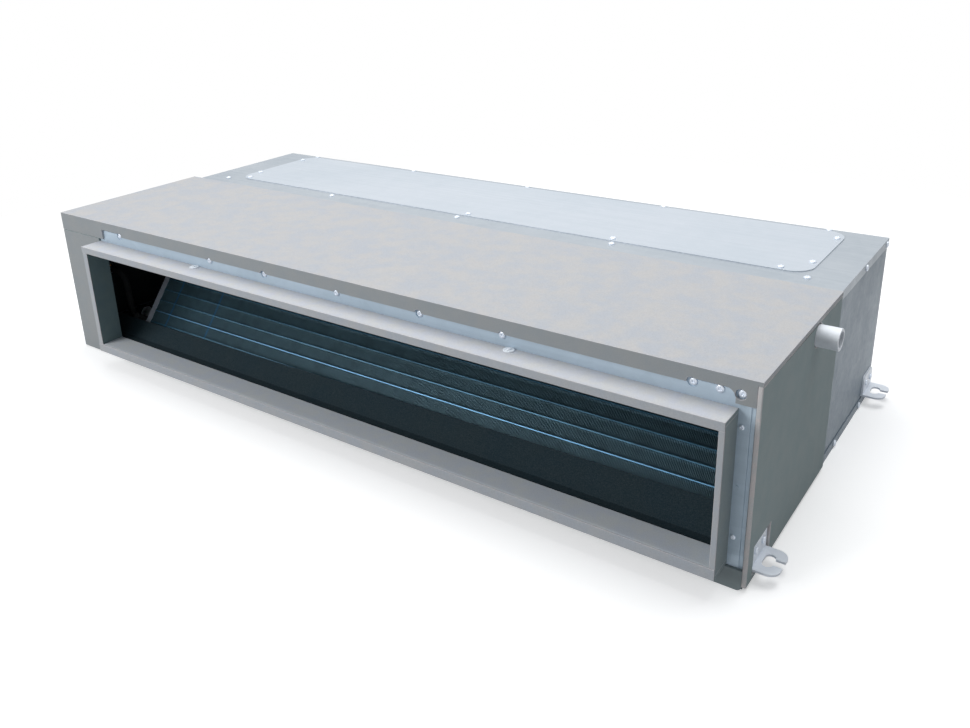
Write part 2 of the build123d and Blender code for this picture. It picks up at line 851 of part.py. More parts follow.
# Motor stator: ring of laminations inside the housing
with BuildPart() as motor_stator:
    rod(motor_plane(-core_l / 2), motor_r - motor_wall - stator_clear, core_l)
    rod(motor_plane(-core_l / 2), stator_in_r, core_l, Mode.SUBTRACT)
finish(motor_stator.part, "motor_stator")

# Motor rotor: core on the double shaft that carries both wheels
shaft_half = fan_pitch / 2 + hub_l / 2 + shaft_over
with BuildPart() as motor_rotor:
    rod(motor_plane(-core_l / 2), rotor_r, core_l)
    rod(motor_plane(-shaft_half), shaft_r, 2 * shaft_half)
    chamfer(edges().filter_by(GeomType.CIRCLE).sort_by(Axis.X)[0], shaft_chamfer)
    chamfer(edges().filter_by(GeomType.CIRCLE).sort_by(Axis.X)[-1], shaft_chamfer)
finish(motor_rotor.part, "motor_rotor")

# Motor rubber rings: one round each bearing boss
ring_start = motor_l / 2 + (boss_l - ring_w) / 2
with BuildPart() as motor_rubber_rings:
    for start in (-ring_start - ring_w, ring_start):
        rod(motor_plane(start), ring_r, ring_w)
        rod(motor_plane(start), boss_r + ring_clear, ring_w, Mode.SUBTRACT)
finish(motor_rubber_rings.part, "motor_rubber_rings")

# Motor bracket: base plate with a cradle under each rubber ring
base_z = sheet
cradle_start = ring_start + (ring_w - cradle_t) / 2
with BuildPart() as motor_bracket:
    slab(
        fan_mid_x - cradle_start - cradle_t, fan_mid_x + cradle_start + cradle_t,
        scroll_mid_y - cradle_w / 2, scroll_mid_y + cradle_w / 2, base_z, base_z + base_t,
    )
    for start in (-cradle_start - cradle_t, cradle_start):
        slab(
            fan_mid_x + start, fan_mid_x + start + cradle_t,
            scroll_mid_y - cradle_w / 2, scroll_mid_y + cradle_w / 2, base_z, scroll_mid_z,
        )
        rod(motor_plane(start), ring_r + ring_clear, cradle_t, Mode.SUBTRACT)
finish(motor_bracket.part, "motor_bracket")

# Motor straps: half hoops over the rubber rings, with ears on the cradles
with BuildPart() as motor_straps:
    for start in (-cradle_start - cradle_t, cradle_start):
        rod(motor_plane(start), ring_r + strap_t, cradle_t)
        slab(
            fan_mid_x + start, fan_mid_x + start + cradle_t,
            scroll_mid_y - ring_r - strap_ear, scroll_mid_y + ring_r + strap_ear,
            scroll_mid_z, scroll_mid_z + strap_t,
        )
        rod(motor_plane(start), ring_r + ring_clear, cradle_t, Mode.SUBTRACT)
    split(bisect_by=Plane.XY.offset(scroll_mid_z), keep=Keep.TOP)
finish(motor_straps.part, "motor_straps")

# Electrical box: open tray inside the left side panel
box_x0 = -panel_x + box_left_gap
box_x1 = box_x0 + box_w
box_y0 = front_y + box_front
box_y1 = front_y + box_back
with BuildPart() as electrical_box:
    slab(box_x0, box_x1, box_y0, box_y1, box_low, box_high)
    slab(
        box_x0, box_x1 - box_wall, box_y0 + box_wall, box_y1 - box_wall,
        box_low + box_wall, box_high - box_wall, Mode.SUBTRACT,
    )
    for y in (box_y0 + box_wall + post_in, box_y1 - box_wall - post_in):
        for z in (box_low + post_up, box_high - post_up):
            post = Plane(origin=(box_x1 - box_wall - board_gap, y, z), x_dir=(0, 1, 0), z_dir=(1, 0, 0))
            rod(post, post_r, board_gap)
finish(electrical_box.part, "electrical_box")

# Control board: circuit board on the box's posts with its larger components
board_x1 = box_x1 - box_wall - board_gap
component_sizes = [
    (40, 80, 32, 30, 26), (88, 80, 24, 24, 18), (120, 70, 20, 26, 22), (45, 140, 36, 36, 6),
    (100, 135, 14, 40, 12), (150, 120, 18, 60, 10), (150, 60, 22, 20, 24),
]
with BuildPart() as control_board:
    slab(
        board_x1 - board_t, board_x1, box_y0 + board_side_gap, box_y1 - board_side_gap,
        box_low + board_low_gap, box_high - board_high_gap,
    )
    for along, up, length, height, reach in component_sizes:
        slab(
            board_x1 - board_t - reach, board_x1 - board_t,
            box_y0 + along - length / 2, box_y0 + along + length / 2,
            box_low + up - height / 2, box_low + up + height / 2,
        )
finish(control_board.part, "control_board")

# Terminal block: row of screw terminals on the box floor
terminal_x = box_x0 + terminal_gap
terminal_y = box_y0 + box_wall + terminal_gap
terminal_z = box_low + box_wall
with BuildPart() as terminal_block:
    slab(
        terminal_x, terminal_x + terminal_d, terminal_y, terminal_y + terminal_w,
        terminal_z, terminal_z + terminal_h,
    )
    slab(
        terminal_x, terminal_x + terminal_d / 2, terminal_y + terminal_end,
        terminal_y + terminal_w - terminal_end,
        terminal_z + terminal_h - terminal_step, terminal_z + terminal_h, Mode.SUBTRACT,
    )
finish(terminal_block.part, "terminal_block")

# Wiring cover: plate over the opening in the left side panel, with two cable holes
gland_y = (door_y0 + door_y1) / 2
gland_z = door_z0 + gland_up
gland_ys = [gland_y - gland_pitch / 2, gland_y + gland_pitch / 2]
with BuildPart() as wiring_cover:
    cover_plane = Plane(
        origin=(-side_x, (door_y0 + door_y1) / 2, (door_z0 + door_z1) / 2),
        x_dir=(0, 1, 0), z_dir=(-1, 0, 0),
    )
    with BuildSketch(cover_plane):
        RectangleRounded(door_y1 - door_y0 + 2 * door_lap, door_z1 - door_z0 + 2 * door_lap, door_lap / 2)
    extrude(amount=sheet)
    for y in gland_ys:
        side_hole(-1, y, gland_z, gland_r + ring_clear)
finish(wiring_cover.part, "wiring_cover")

# Cable grommets: rubber rings that grip the edges of the two cable holes
with BuildPart() as cable_grommets:
    for y in gland_ys:
        start = Plane(
            origin=(-side_x + gland_groove, y, gland_z), x_dir=(0, 1, 0), z_dir=(-1, 0, 0),
        )
        rod(start, gland_r + gland_rim, gland_t)
        rod(start.offset(gland_groove), gland_r + 2 * gland_rim, sheet, Mode.SUBTRACT)
        rod(start.offset(gland_groove), gland_r, sheet)
        rod(start, gland_bore_r, gland_t, Mode.SUBTRACT)
finish(cable_grommets.part, "cable_grommets")

# Coil: block of fins that leans back, bored for its tubes
lean = radians(coil_tilt)
coil_h = tube_pitch * tubes_high
coil_t = row_pitch * coil_rows
coil_y = front_y + coil_front


def coil_plane(x, up=0.0, back=0.0):
    """Give the cross-section plane of the coil at X, with local x up its slope."""
    y = coil_y + up * sin(lean) + back * cos(lean)
    z = coil_low + up * cos(lean) - back * sin(lean)
    return Plane(origin=(x, y, z), x_dir=(0, sin(lean), cos(lean)), z_dir=(1, 0, 0))


def tube_grid():
    """Place every tube in the coil's cross-section."""
    return GridLocations(tube_pitch, row_pitch, tubes_high, coil_rows)


with BuildPart() as coil_fins:
    with BuildSketch(coil_plane(coil_left)):
        with Locations((coil_h / 2, -coil_t / 2)):
            Rectangle(coil_h, coil_t)
            with tube_grid():
                Circle(tube_r + tube_clear, mode=Mode.SUBTRACT)
    extrude(amount=coil_right - coil_left)
finish(coil_fins.part, "coil_fins")


def end_plate(side):
    """Make one coil end plate, with a lip turned out along the front of the coil."""
    start = coil_left - end_plate_t if side < 0 else coil_right
    lip_start = coil_left - end_plate_lip if side < 0 else coil_right
    with BuildPart() as plate:
        with BuildSketch(coil_plane(start)) as face:
            with Locations((coil_h / 2, -coil_t / 2)):
                Rectangle(coil_h, coil_t)
                with tube_grid():
                    Circle(tube_r + tube_clear, mode=Mode.SUBTRACT)
        extrude(face.sketch, amount=end_plate_t)
        with BuildSketch(coil_plane(lip_start)) as lip:
            with Locations((coil_h / 2, -end_plate_t / 2)):
                Rectangle(coil_h, end_plate_t)
        extrude(lip.sketch, amount=end_plate_lip)
    return plate.part


finish(end_plate(-1), "coil_end_plate_left")
finish(end_plate(1), "coil_end_plate_right")

# Coil tubes: hairpins from the left, bent round at the right, joined by return bends
bend_r = tube_pitch / 2
tube_end_x = coil_left - end_plate_t - bend_gap
bend_x = coil_right + end_plate_t + bend_gap


def hairpin(low_tube, row, x0, x1):
    """Sweep one U of tube in one row: out from x0 along two tubes, bent round past x1."""
    turn = 1 if x1 > x0 else -1
    up = (low_tube + 0.5) * tube_pitch
    back = (row + 0.5) * row_pitch
    low = coil_plane(0, up, back)
    high = coil_plane(0, up + tube_pitch, back)
    middle = coil_plane(0, up + bend_r, back)
    starts = Vector(x0, low.origin.Y, low.origin.Z)
    corner_low = Vector(x1, low.origin.Y, low.origin.Z)
    corner_high = Vector(x1, high.origin.Y, high.origin.Z)
    tip = Vector(x1 + turn * bend_r, middle.origin.Y, middle.origin.Z)
    ends = Vector(x0, high.origin.Y, high.origin.Z)
    with BuildPart() as pipe:
        with BuildLine() as route:
            Line(starts, corner_low)
            ThreePointArc(corner_low, tip, corner_high)
            Line(corner_high, ends)
        with BuildSketch(Plane(origin=starts, z_dir=(turn, 0, 0))) as ring:
            Circle(tube_r)
        sweep(ring.sketch, path=route.line)
    return pipe.part


tube_solids = []
for row in range(coil_rows):
    for low_tube in range(0, tubes_high, 2):
        tube_solids.append(hairpin(low_tube, row, tube_end_x, bend_x))
    for low_tube in range(1, tubes_high - 2, 2):
        tube_solids.append(hairpin(low_tube, row, tube_end_x - joint_gap, tube_end_x - bend_gap))
coil_tubes = Compound(children=[solid for part in tube_solids for solid in part.solids()])
finish(coil_tubes, "coil_tubes")


def header(tube, radius, pipe_radius, port_y, port_z):
    """Make a header across the rows at one tube height, its branches and its outlet pipe."""
    up = (tube + 0.5) * tube_pitch
    mid = coil_plane(0, up, coil_t / 2).origin
    half = coil_t / 2 + header_over
    start = coil_plane(header_x, up, coil_t / 2 - half)
    across = Plane(origin=start.origin, x_dir=(1, 0, 0), z_dir=(0, cos(lean), -sin(lean)))
    port = (front_y + port_y, port_z)
    route_points = [
        (header_x, mid.Y, mid.Z),
        (pipe_turn_x, mid.Y, mid.Z),
        (pipe_turn_x, *port),
        (-panel_x + pipe_end_gap, *port),
    ]
    with BuildPart() as pipe:
        rod(across, radius, 2 * half)
        for row in range(coil_rows):
            stub = coil_plane(header_x, up, (row + 0.5) * row_pitch)
            rod(stub, tube_r, tube_end_x - header_x - joint_gap)
        with BuildLine() as route:
            FilletPolyline(*route_points, radius=pipe_bend_r)
        with BuildSketch(Plane(origin=route_points[0], z_dir=(-1, 0, 0))) as ring:
            Circle(pipe_radius)
        sweep(ring.sketch, path=route.line)
    return pipe.part


finish(header(tubes_high - 1, gas_header_r, gas_pipe_r, gas_port_y, gas_port_z), "gas_pipe")
finish(header(0, liquid_header_r, liquid_pipe_r, liquid_port_y, liquid_port_z), "liquid_pipe")

# Flare unions: hexagon against the side panel and a threaded end outside
with BuildPart() as flare_unions:
    for y, z, radius in left_holes[:2]:
        start = Plane(origin=(-side_x + sheet, y, z), x_dir=(0, 1, 0), z_dir=(-1, 0, 0))
        rod(start, radius, sheet + union_reach)
        with BuildSketch(start.offset(sheet + foam_t)) as nut:
            RegularPolygon(radius + union_hex_over, 6)
        extrude(nut.sketch, amount=union_hex_l)
        rod(start, radius - union_wall, sheet + union_reach, Mode.SUBTRACT)
finish(flare_unions.part, "flare_unions")

# Drain pan: moulded tray under the coil, with a sloped ledge along its front and ribs that
# carry the coil's lower edge
pan_x = panel_x - pan_side_gap
pan_y0 = front_y + 2 * sheet + pan_front_gap
pan_y1 = deck_y - sheet - pan_rear_gap
coil_foot_y = coil_y + coil_t * cos(lean)
coil_foot_z = coil_low - coil_t * sin(lean)
ledge_y0 = pan_y0 + pan_wall
ledge_ends = [(-pan_x + pan_wall, ledge_left_h), (pan_x - pan_wall / 2, ledge_right_h)]
with BuildPart() as drain_pan:
    slab(-pan_x, pan_x, pan_y0, pan_y1, 2 * sheet, pan_height)
    slab(
        -pan_x + pan_wall, pan_x - pan_wall / 2, pan_y0 + pan_wall, pan_y1 - pan_wall,
        pan_floor, pan_height, Mode.SUBTRACT,
    )
    for share in rib_shares:
        rib_x = coil_left + share * (coil_right - coil_left)
        slab(rib_x, rib_x + rib_w, coil_foot_y - rib_d / 2, coil_foot_y + rib_d / 2, pan_floor, coil_foot_z)
    for end_x, ledge_h in ledge_ends:
        with BuildSketch(Plane(origin=(end_x, 0, 0), x_dir=(0, 1, 0), z_dir=(1, 0, 0))):
            with BuildLine():
                Polyline(
                    (ledge_y0, pan_floor),
                    (ledge_y0, pan_height),
                    (ledge_y0 + ledge_d, ledge_h),
                    (ledge_y0 + ledge_d, pan_floor),
                    close=True,
                )
            make_face()
    loft(ruled=True)
    side_hole(-1, front_y + gravity_y, gravity_z, gravity_shoulder_r + plug_clear)
finish(drain_pan.part, "drain_pan")

# Drain spout: white tube through the right side panel with a flange inside
with BuildPart() as drain_spout:
    start = Plane(
        origin=(panel_x - spout_flange_t, front_y + spout_y, spout_z), x_dir=(0, 1, 0), z_dir=(1, 0, 0),
    )
    rod(start, spout_flange_r, spout_flange_t)
    rod(start, spout_r, spout_flange_t + sheet + spout_reach)
    rod(start, spout_bore_r, spout_flange_t + sheet + spout_reach, Mode.SUBTRACT)
finish(drain_spout.part, "drain_spout")

# Gravity drain: tube with a thicker root in the pan's left wall, and its rubber plug
gravity_start = Plane(
    origin=(-pan_x + pan_wall, front_y + gravity_y, gravity_z), x_dir=(0, 1, 0), z_dir=(-1, 0, 0),
)
gravity_l = gravity_reach + side_x - pan_x + pan_wall
with BuildPart() as gravity_drain:
    rod(gravity_start, gravity_shoulder_r, pan_wall + pan_side_gap - plug_clear)
    rod(gravity_start, gravity_r, gravity_l)
    rod(gravity_start, gravity_bore_r, gravity_l, Mode.SUBTRACT)
finish(gravity_drain.part, "gravity_drain")

with BuildPart() as drain_plug:
    rod(gravity_start.offset(gravity_l - plug_l), gravity_bore_r - plug_clear, plug_l)
    rod(gravity_start.offset(gravity_l), gravity_bore_r - plug_head_in, plug_head_t)
finish(drain_plug.part, "drain_plug")

# Drain pump housing: motor above a pumping chamber, suction tube down, spigot forwards
pump_at_y = front_y + pump_y
spigot_z = pump_low + chamber_h / 2 + spigot_up


def pump_plane(z):
    """Give the level plane on the pump's axis."""
    return Plane(origin=(pump_x, pump_at_y, z))


with BuildPart() as drain_pump_housing:
    rod(pump_plane(pump_low), pump_r, pump_h)
    fillet(edges().filter_by(GeomType.CIRCLE).sort_by(Axis.Z)[-1], pump_round)
    rod(pump_plane(suction_low), suction_r, pump_low - suction_low)
    spigot = Plane(origin=(pump_x, pump_at_y, spigot_z), x_dir=(1, 0, 0), z_dir=(0, -1, 0))
    rod(spigot, spigot_r, pump_r + spigot_l)
    rod(pump_plane(pump_low + chamber_floor), chamber_r, chamber_h - chamber_floor, Mode.SUBTRACT)
    suction_l = pump_low - suction_low + chamber_floor
    rod(pump_plane(suction_low), suction_r - suction_wall, suction_l, Mode.SUBTRACT)
    rod(spigot, spigot_bore_r, pump_r + spigot_l, Mode.SUBTRACT)
    shaft_hole_l = impeller_shaft_l + shaft_end_gap
    rod(pump_plane(pump_low + chamber_h), impeller_shaft_r + shaft_clear, shaft_hole_l, Mode.SUBTRACT)
finish(drain_pump_housing.part, "drain_pump_housing")

# Pump impeller: shaft with a disc and radial vanes inside the chamber
with BuildPart() as pump_impeller:
    impeller_z = pump_low + chamber_floor + impeller_clear
    rod(pump_plane(impeller_z), impeller_r, impeller_disc_t)
    rod(pump_plane(impeller_z), impeller_shaft_r, pump_low + chamber_h + impeller_shaft_l - impeller_z)
    with BuildSketch(pump_plane(impeller_z)) as vanes:
        with PolarLocations(impeller_r / 2, vane_count):
            Rectangle(impeller_r, vane_t)
    extrude(vanes.sketch, amount=impeller_h)
finish(pump_impeller.part, "pump_impeller")

# Pump bracket: plate on the side panel that carries the pump by its top
bracket_z = pump_low + pump_h - bracket_drop
with BuildPart() as pump_bracket:
    slab(
        pump_x - pump_r - pump_rim, panel_x, pump_at_y - pump_r - pump_rim, pump_at_y + pump_r + pump_rim,
        bracket_z, bracket_z + bracket_t,
    )
    slab(
        panel_x - bracket_t, panel_x, pump_at_y - pump_r - pump_rim, pump_at_y + pump_r + pump_rim,
        bracket_z, bracket_z + bracket_up,
    )
    rod(pump_plane(bracket_z), pump_r + pump_seat_gap, bracket_t, Mode.SUBTRACT)
finish(pump_bracket.part, "pump_bracket")

# Drain hose: from the pump's spigot up to the spout
hose_front = front_y + spout_y
hose_points = [
    (pump_x, pump_at_y - pump_r - spigot_l, spigot_z),
    (pump_x, hose_front, spigot_z),
    (pump_x, hose_front, spout_z),
    (panel_x - spout_flange_t, hose_front, spout_z),
]
with BuildPart() as drain_hose:
    with BuildLine() as hose_route:
        FilletPolyline(*hose_points, radius=hose_bend_r)
    with BuildSketch(Plane(origin=hose_points[0], z_dir=(0, -1, 0))) as hose_ring:
        Circle(hose_r)
        Circle(hose_bore_r, mode=Mode.SUBTRACT)
    sweep(hose_ring.sketch, path=hose_route.line)
finish(drain_hose.part, "drain_hose")

# Float switch: bracket on the side panel with a stem that the float slides on
float_at_y = front_y + float_y
with BuildPart() as float_switch:
    stem_low = pan_floor + float_stop_gap
    rod(Plane(origin=(float_x, float_at_y, stem_low)), float_stem_r, float_bracket_z - stem_low)
    rod(Plane(origin=(float_x, float_at_y, stem_low)), float_stop_r, float_low - stem_low - float_stop_gap)
    slab(
        float_x - float_r, panel_x, float_at_y - float_r, float_at_y + float_r,
        float_bracket_z, float_bracket_z + bracket_t,
    )
    slab(
        panel_x - bracket_t, panel_x, float_at_y - float_r, float_at_y + float_r,
        float_bracket_z, float_bracket_z + bracket_up,
    )
finish(float_switch.part, "float_switch")

with BuildPart() as float_ring:
    rod(Plane(origin=(float_x, float_at_y, float_low)), float_r, float_h)
    fillet(edges().filter_by(GeomType.CIRCLE), float_round)
    rod(Plane(origin=(float_x, float_at_y, float_low)), float_stem_r + float_clear, float_h, Mode.SUBTRACT)
finish(float_ring.part, "drain_float")


def hook(side, y):
    """Make one hanging hook: plate with an open slot, and a leg screwed to the side."""
    with BuildPart() as bracket:
        with BuildSketch(Plane.XY.offset(hook_low)) as plate:
            with Locations((side * (side_x + hook_reach / 2), y)):
                Rectangle(hook_reach, hook_w)
            fillet(plate.vertices().sort_by(Axis.X if side > 0 else -Axis.X)[2:], hook_corner_r)
            with Locations((side * (side_x + slot_reach), y)):
                SlotOverall(slot_l, 2 * slot_r, rotation=90, mode=Mode.SUBTRACT)
            with Locations((side * (side_x + slot_reach + hook_reach / 2), y)):
                Rectangle(hook_reach, mouth_w, mode=Mode.SUBTRACT)
        extrude(plate.sketch, amount=hook_t)
        leg_plane = Plane(origin=(side * side_x, y, hook_low), x_dir=(0, 1, 0), z_dir=(side, 0, 0))
        with BuildSketch(leg_plane) as leg:
            with Locations((0, side * hook_leg_h / 2)):
                Rectangle(hook_w, hook_leg_h)
            fillet(leg.vertices().group_by(Axis.Y)[-1 if side > 0 else 0], leg_corner_r)
        extrude(leg.sketch, amount=hook_t)
        for part_y in (-leg_screw_gap / 2, leg_screw_gap / 2):
            side_hole(side, y + part_y, leg_screw_z, screw_hole_r)
    return bracket.part


for side, word in ((-1, "left"), (1, "right")):
    pair = Compound(children=[solid for y in hook_ys for solid in hook(side, y).solids()])
    finish(pair, f"{word}_hanging_hooks")


def screw(plane, head_r, head_h):
    """Add one pan-head screw, its head standing on the plane and its shank below it."""
    rod(plane, head_r, head_h * head_rim_share)
    with BuildSketch(plane.offset(head_h * head_rim_share)) as crown:
        Circle(head_r)
    extrude(crown.sketch, amount=head_h * (1 - head_rim_share), taper=head_taper)
    rod(plane.offset(-shank_l), screw_r, shank_l)


def front_plane(x, y, z):
    """Give the plane that faces the front at one screw."""
    return Plane(origin=(x, y, z), x_dir=(1, 0, 0), z_dir=(0, -1, 0))


def side_plane(side, x, y, z):
    """Give the plane that faces one side at one screw."""
    return Plane(origin=(side * x, y, z), x_dir=(0, 1, 0), z_dir=(side, 0, 0))


# Pan-head screws: alike on the top, the front row and both sides, and two with smaller heads
with BuildPart() as pan_head_screws:
    for x, y in cover_points:
        screw(Plane(origin=(x, y, case_h + sheet)), screw_head_r, screw_head_h)
    for x, y in edge_points + row_points:
        screw(Plane(origin=(x, y, case_h)), screw_head_r, screw_head_h)
    for x, z in sunk_points:
        screw(front_plane(x, front_y, z), screw_head_r, screw_head_h)
    for x, z in plain_points:
        screw(front_plane(x, face_y, z), screw_head_r, screw_head_h)
    for x, z in small_points:
        screw(front_plane(x, face_y, z), small_head_r, small_head_h)
    for side in (-1, 1):
        for y, z in side_points:
            screw(side_plane(side, side_x + sheet, y, z), screw_head_r, screw_head_h)
        for y, z in leg_points:
            screw(side_plane(side, side_x + hook_t, y, z), screw_head_r, screw_head_h)
finish(pan_head_screws.part, "pan_head_screws")

# Push plugs: flat white buttons with a stem that pin the collar's insulation
with BuildPart() as collar_plugs:
    for x in button_xs:
        button = Plane(origin=(x, front_y - button_back, collar_high))
        rod(button, button_r, button_t)
        rod(button.offset(button_t), button_dome_r, button_dome_h)
        rod(button.offset(head_gap - collar_foam), button_stem_r, collar_foam)
finish(collar_plugs.part, "collar_plugs")

# Coil chamber lining: dark foam on the inside of the top and of both ends
with BuildPart() as chamber_lining:
    slab(
        -panel_x + flange_w, panel_x - flange_w, front_y + 2 * sheet, deck_y - sheet,
        under_top - lining_t, under_top,
    )
    for side in (-1, 1):
        wall_x = sorted((side * (panel_x - wall_lining_t), side * panel_x))
        wall_back = deck_y - flange_w if side < 0 else float_at_y - float_r - foam_gap
        slab(*wall_x, front_y + flange_w, wall_back, pan_height + foam_gap, under_top - lining_t)
        for y, z, radius in left_holes if side < 0 else right_holes:
            side_hole(side, y, z, radius + lining_hole_gap)
    drill_top(top_points)
finish(chamber_lining.part, "chamber_lining")
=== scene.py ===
import math

import bmesh
import bpy
from mathutils import Matrix, Vector


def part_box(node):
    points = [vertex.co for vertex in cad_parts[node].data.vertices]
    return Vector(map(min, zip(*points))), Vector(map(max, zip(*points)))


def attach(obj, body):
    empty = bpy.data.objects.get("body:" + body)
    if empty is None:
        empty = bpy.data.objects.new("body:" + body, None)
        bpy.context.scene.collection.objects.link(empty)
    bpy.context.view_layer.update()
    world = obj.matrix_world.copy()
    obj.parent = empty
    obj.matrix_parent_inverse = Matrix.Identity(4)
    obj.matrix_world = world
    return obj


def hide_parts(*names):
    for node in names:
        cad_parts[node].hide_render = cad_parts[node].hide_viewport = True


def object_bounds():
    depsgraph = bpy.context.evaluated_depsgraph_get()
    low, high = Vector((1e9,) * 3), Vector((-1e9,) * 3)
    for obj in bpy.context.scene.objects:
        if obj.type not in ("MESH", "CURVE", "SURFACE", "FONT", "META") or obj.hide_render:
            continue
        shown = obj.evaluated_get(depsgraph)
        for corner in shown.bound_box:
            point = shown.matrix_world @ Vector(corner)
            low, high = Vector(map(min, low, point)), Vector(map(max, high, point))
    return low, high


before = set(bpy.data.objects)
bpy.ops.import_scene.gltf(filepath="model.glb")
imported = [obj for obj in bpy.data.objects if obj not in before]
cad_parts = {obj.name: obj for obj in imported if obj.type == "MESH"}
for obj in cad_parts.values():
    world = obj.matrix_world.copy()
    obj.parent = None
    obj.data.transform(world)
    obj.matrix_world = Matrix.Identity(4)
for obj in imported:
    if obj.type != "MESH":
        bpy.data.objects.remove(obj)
cad_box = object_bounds()

# The floor is one pale sheet under the unit. It fades to plain white away from the unit, so that the
# ground has no visible end, and it throws back only a little light on to the sides.
floor_half = 20.0
floor_shadow_reach = 0.75
floor_white_reach = 1.5
floor_grey = (0.80, 0.80, 0.80, 1)
floor_bounce_grey = (0.42, 0.42, 0.43, 1)
floor_glow = 0.42
floor_mesh = bpy.data.meshes.new("studio_floor")
floor_corners = [(x * floor_half, y * floor_half, 0.0) for x, y in ((-1, -1), (1, -1), (1, 1), (-1, 1))]
floor_mesh.from_pydata(floor_corners, [], [(0, 1, 2, 3)])
studio_floor = bpy.data.objects.new("studio_floor", floor_mesh)
bpy.context.scene.collection.objects.link(studio_floor)

floor_material = bpy.data.materials.new("studio_floor")
floor_material.use_nodes = True
floor_nodes = floor_material.node_tree.nodes
floor_links = floor_material.node_tree.links
floor_nodes.clear()
floor_output = floor_nodes.new("ShaderNodeOutputMaterial")
floor_place = floor_nodes.new("ShaderNodeTexCoord")
floor_distance = floor_nodes.new("ShaderNodeVectorMath")
floor_distance.operation = "LENGTH"
floor_fade = floor_nodes.new("ShaderNodeMapRange")
floor_fade.inputs["From Min"].default_value = floor_shadow_reach
floor_fade.inputs["From Max"].default_value = floor_white_reach
floor_paint = floor_nodes.new("ShaderNodeBsdfDiffuse")
floor_paint.inputs["Color"].default_value = floor_grey
floor_lift = floor_nodes.new("ShaderNodeEmission")
floor_lift.inputs["Color"].default_value = (1, 1, 1, 1)
floor_lift.inputs["Strength"].default_value = floor_glow
floor_near = floor_nodes.new("ShaderNodeAddShader")
floor_white = floor_nodes.new("ShaderNodeEmission")
floor_white.inputs["Strength"].default_value = 1.0
floor_seen = floor_nodes.new("ShaderNodeMixShader")
floor_bounce = floor_nodes.new("ShaderNodeBsdfDiffuse")
floor_bounce.inputs["Color"].default_value = floor_bounce_grey
floor_path = floor_nodes.new("ShaderNodeLightPath")
floor_gloss_rays = floor_nodes.new("ShaderNodeMath")
floor_gloss_rays.operation = "MAXIMUM"
floor_white_rays = floor_nodes.new("ShaderNodeMath")
floor_white_rays.operation = "MAXIMUM"
floor_mix = floor_nodes.new("ShaderNodeMixShader")
floor_links.new(floor_place.outputs["Object"], floor_distance.inputs[0])
floor_links.new(floor_distance.outputs["Value"], floor_fade.inputs["Value"])
floor_links.new(floor_paint.outputs[0], floor_near.inputs[0])
floor_links.new(floor_lift.outputs[0], floor_near.inputs[1])
floor_links.new(floor_fade.outputs["Result"], floor_seen.inputs["Fac"])
floor_links.new(floor_near.outputs[0], floor_seen.inputs[1])
floor_links.new(floor_white.outputs[0], floor_seen.inputs[2])
floor_links.new(floor_path.outputs["Is Glossy Ray"], floor_gloss_rays.inputs[0])
floor_links.new(floor_path.outputs["Is Transmission Ray"], floor_gloss_rays.inputs[1])
floor_links.new(floor_path.outputs["Is Camera Ray"], floor_white_rays.inputs[0])
floor_links.new(floor_gloss_rays.outputs[0], floor_white_rays.inputs[1])
floor_links.new(floor_white_rays.outputs[0], floor_mix.inputs["Fac"])
floor_links.new(floor_bounce.outputs[0], floor_mix.inputs[1])
floor_links.new(floor_seen.outputs[0], floor_mix.inputs[2])
floor_links.new(floor_mix.outputs[0], floor_output.inputs["Surface"])
floor_mesh.materials.append(floor_material)

# The room is a white studio with dim walls. Camera, mirror and glass rays see plain white, and the
# walls give the casing a weak even light from all sides.
room_tint = (0.90, 0.95, 1.0, 1)
room_strength = 0.32
studio_world = bpy.data.worlds.new("studio_room")
bpy.context.scene.world = studio_world
studio_world.use_nodes = True
room_nodes = studio_world.node_tree.nodes
room_links = studio_world.node_tree.links
room_nodes.clear()
room_output = room_nodes.new("ShaderNodeOutputWorld")
room_seen = room_nodes.new("ShaderNodeBackground")
room_seen.inputs["Color"].default_value = (1, 1, 1, 1)
room_seen.inputs["Strength"].default_value = 1.0
room_light = room_nodes.new("ShaderNodeBackground")
room_light.inputs["Color"].default_value = room_tint
room_light.inputs["Strength"].default_value = room_strength
room_path = room_nodes.new("ShaderNodeLightPath")
room_gloss_rays = room_nodes.new("ShaderNodeMath")
room_gloss_rays.operation = "MAXIMUM"
room_white_rays = room_nodes.new("ShaderNodeMath")
room_white_rays.operation = "MAXIMUM"
room_mix = room_nodes.new("ShaderNodeMixShader")
room_links.new(room_path.outputs["Is Glossy Ray"], room_gloss_rays.inputs[0])
room_links.new(room_path.outputs["Is Transmission Ray"], room_gloss_rays.inputs[1])
room_links.new(room_path.outputs["Is Camera Ray"], room_white_rays.inputs[0])
room_links.new(room_gloss_rays.outputs[0], room_white_rays.inputs[1])
room_links.new(room_white_rays.outputs[0], room_mix.inputs["Fac"])
room_links.new(room_light.outputs[0], room_mix.inputs[1])
room_links.new(room_seen.outputs[0], room_mix.inputs[2])
room_links.new(room_mix.outputs[0], room_output.inputs["Surface"])


# Two soft lamps light the unit: a wide one overhead and slightly behind for the top sheets, and one
# in front on the left that lights the outlet and leaves the right side in half shade.
def add_soft_lamp(name, place, aim, width, depth, watts):
    lamp_data = bpy.data.lights.new(name, "AREA")
    lamp_data.shape = "RECTANGLE"
    lamp_data.size = width
    lamp_data.size_y = depth
    lamp_data.energy = watts
    lamp = bpy.data.objects.new(name, lamp_data)
    bpy.context.scene.collection.objects.link(lamp)
    lamp.location = place
    lamp.rotation_mode = "QUATERNION"
    lamp.rotation_quaternion = (aim - Vector(place)).to_track_quat("-Z", "Y")


unit_middle = (cad_box[0] + cad_box[1]) / 2
add_soft_lamp("overhead_lamp", (0.05, 0.5, 2.6), unit_middle, width=2.6, depth=1.8, watts=61)
add_soft_lamp("front_left_lamp", (-1.6, -2.6, 1.7), unit_middle, width=1.8, depth=1.4, watts=60)

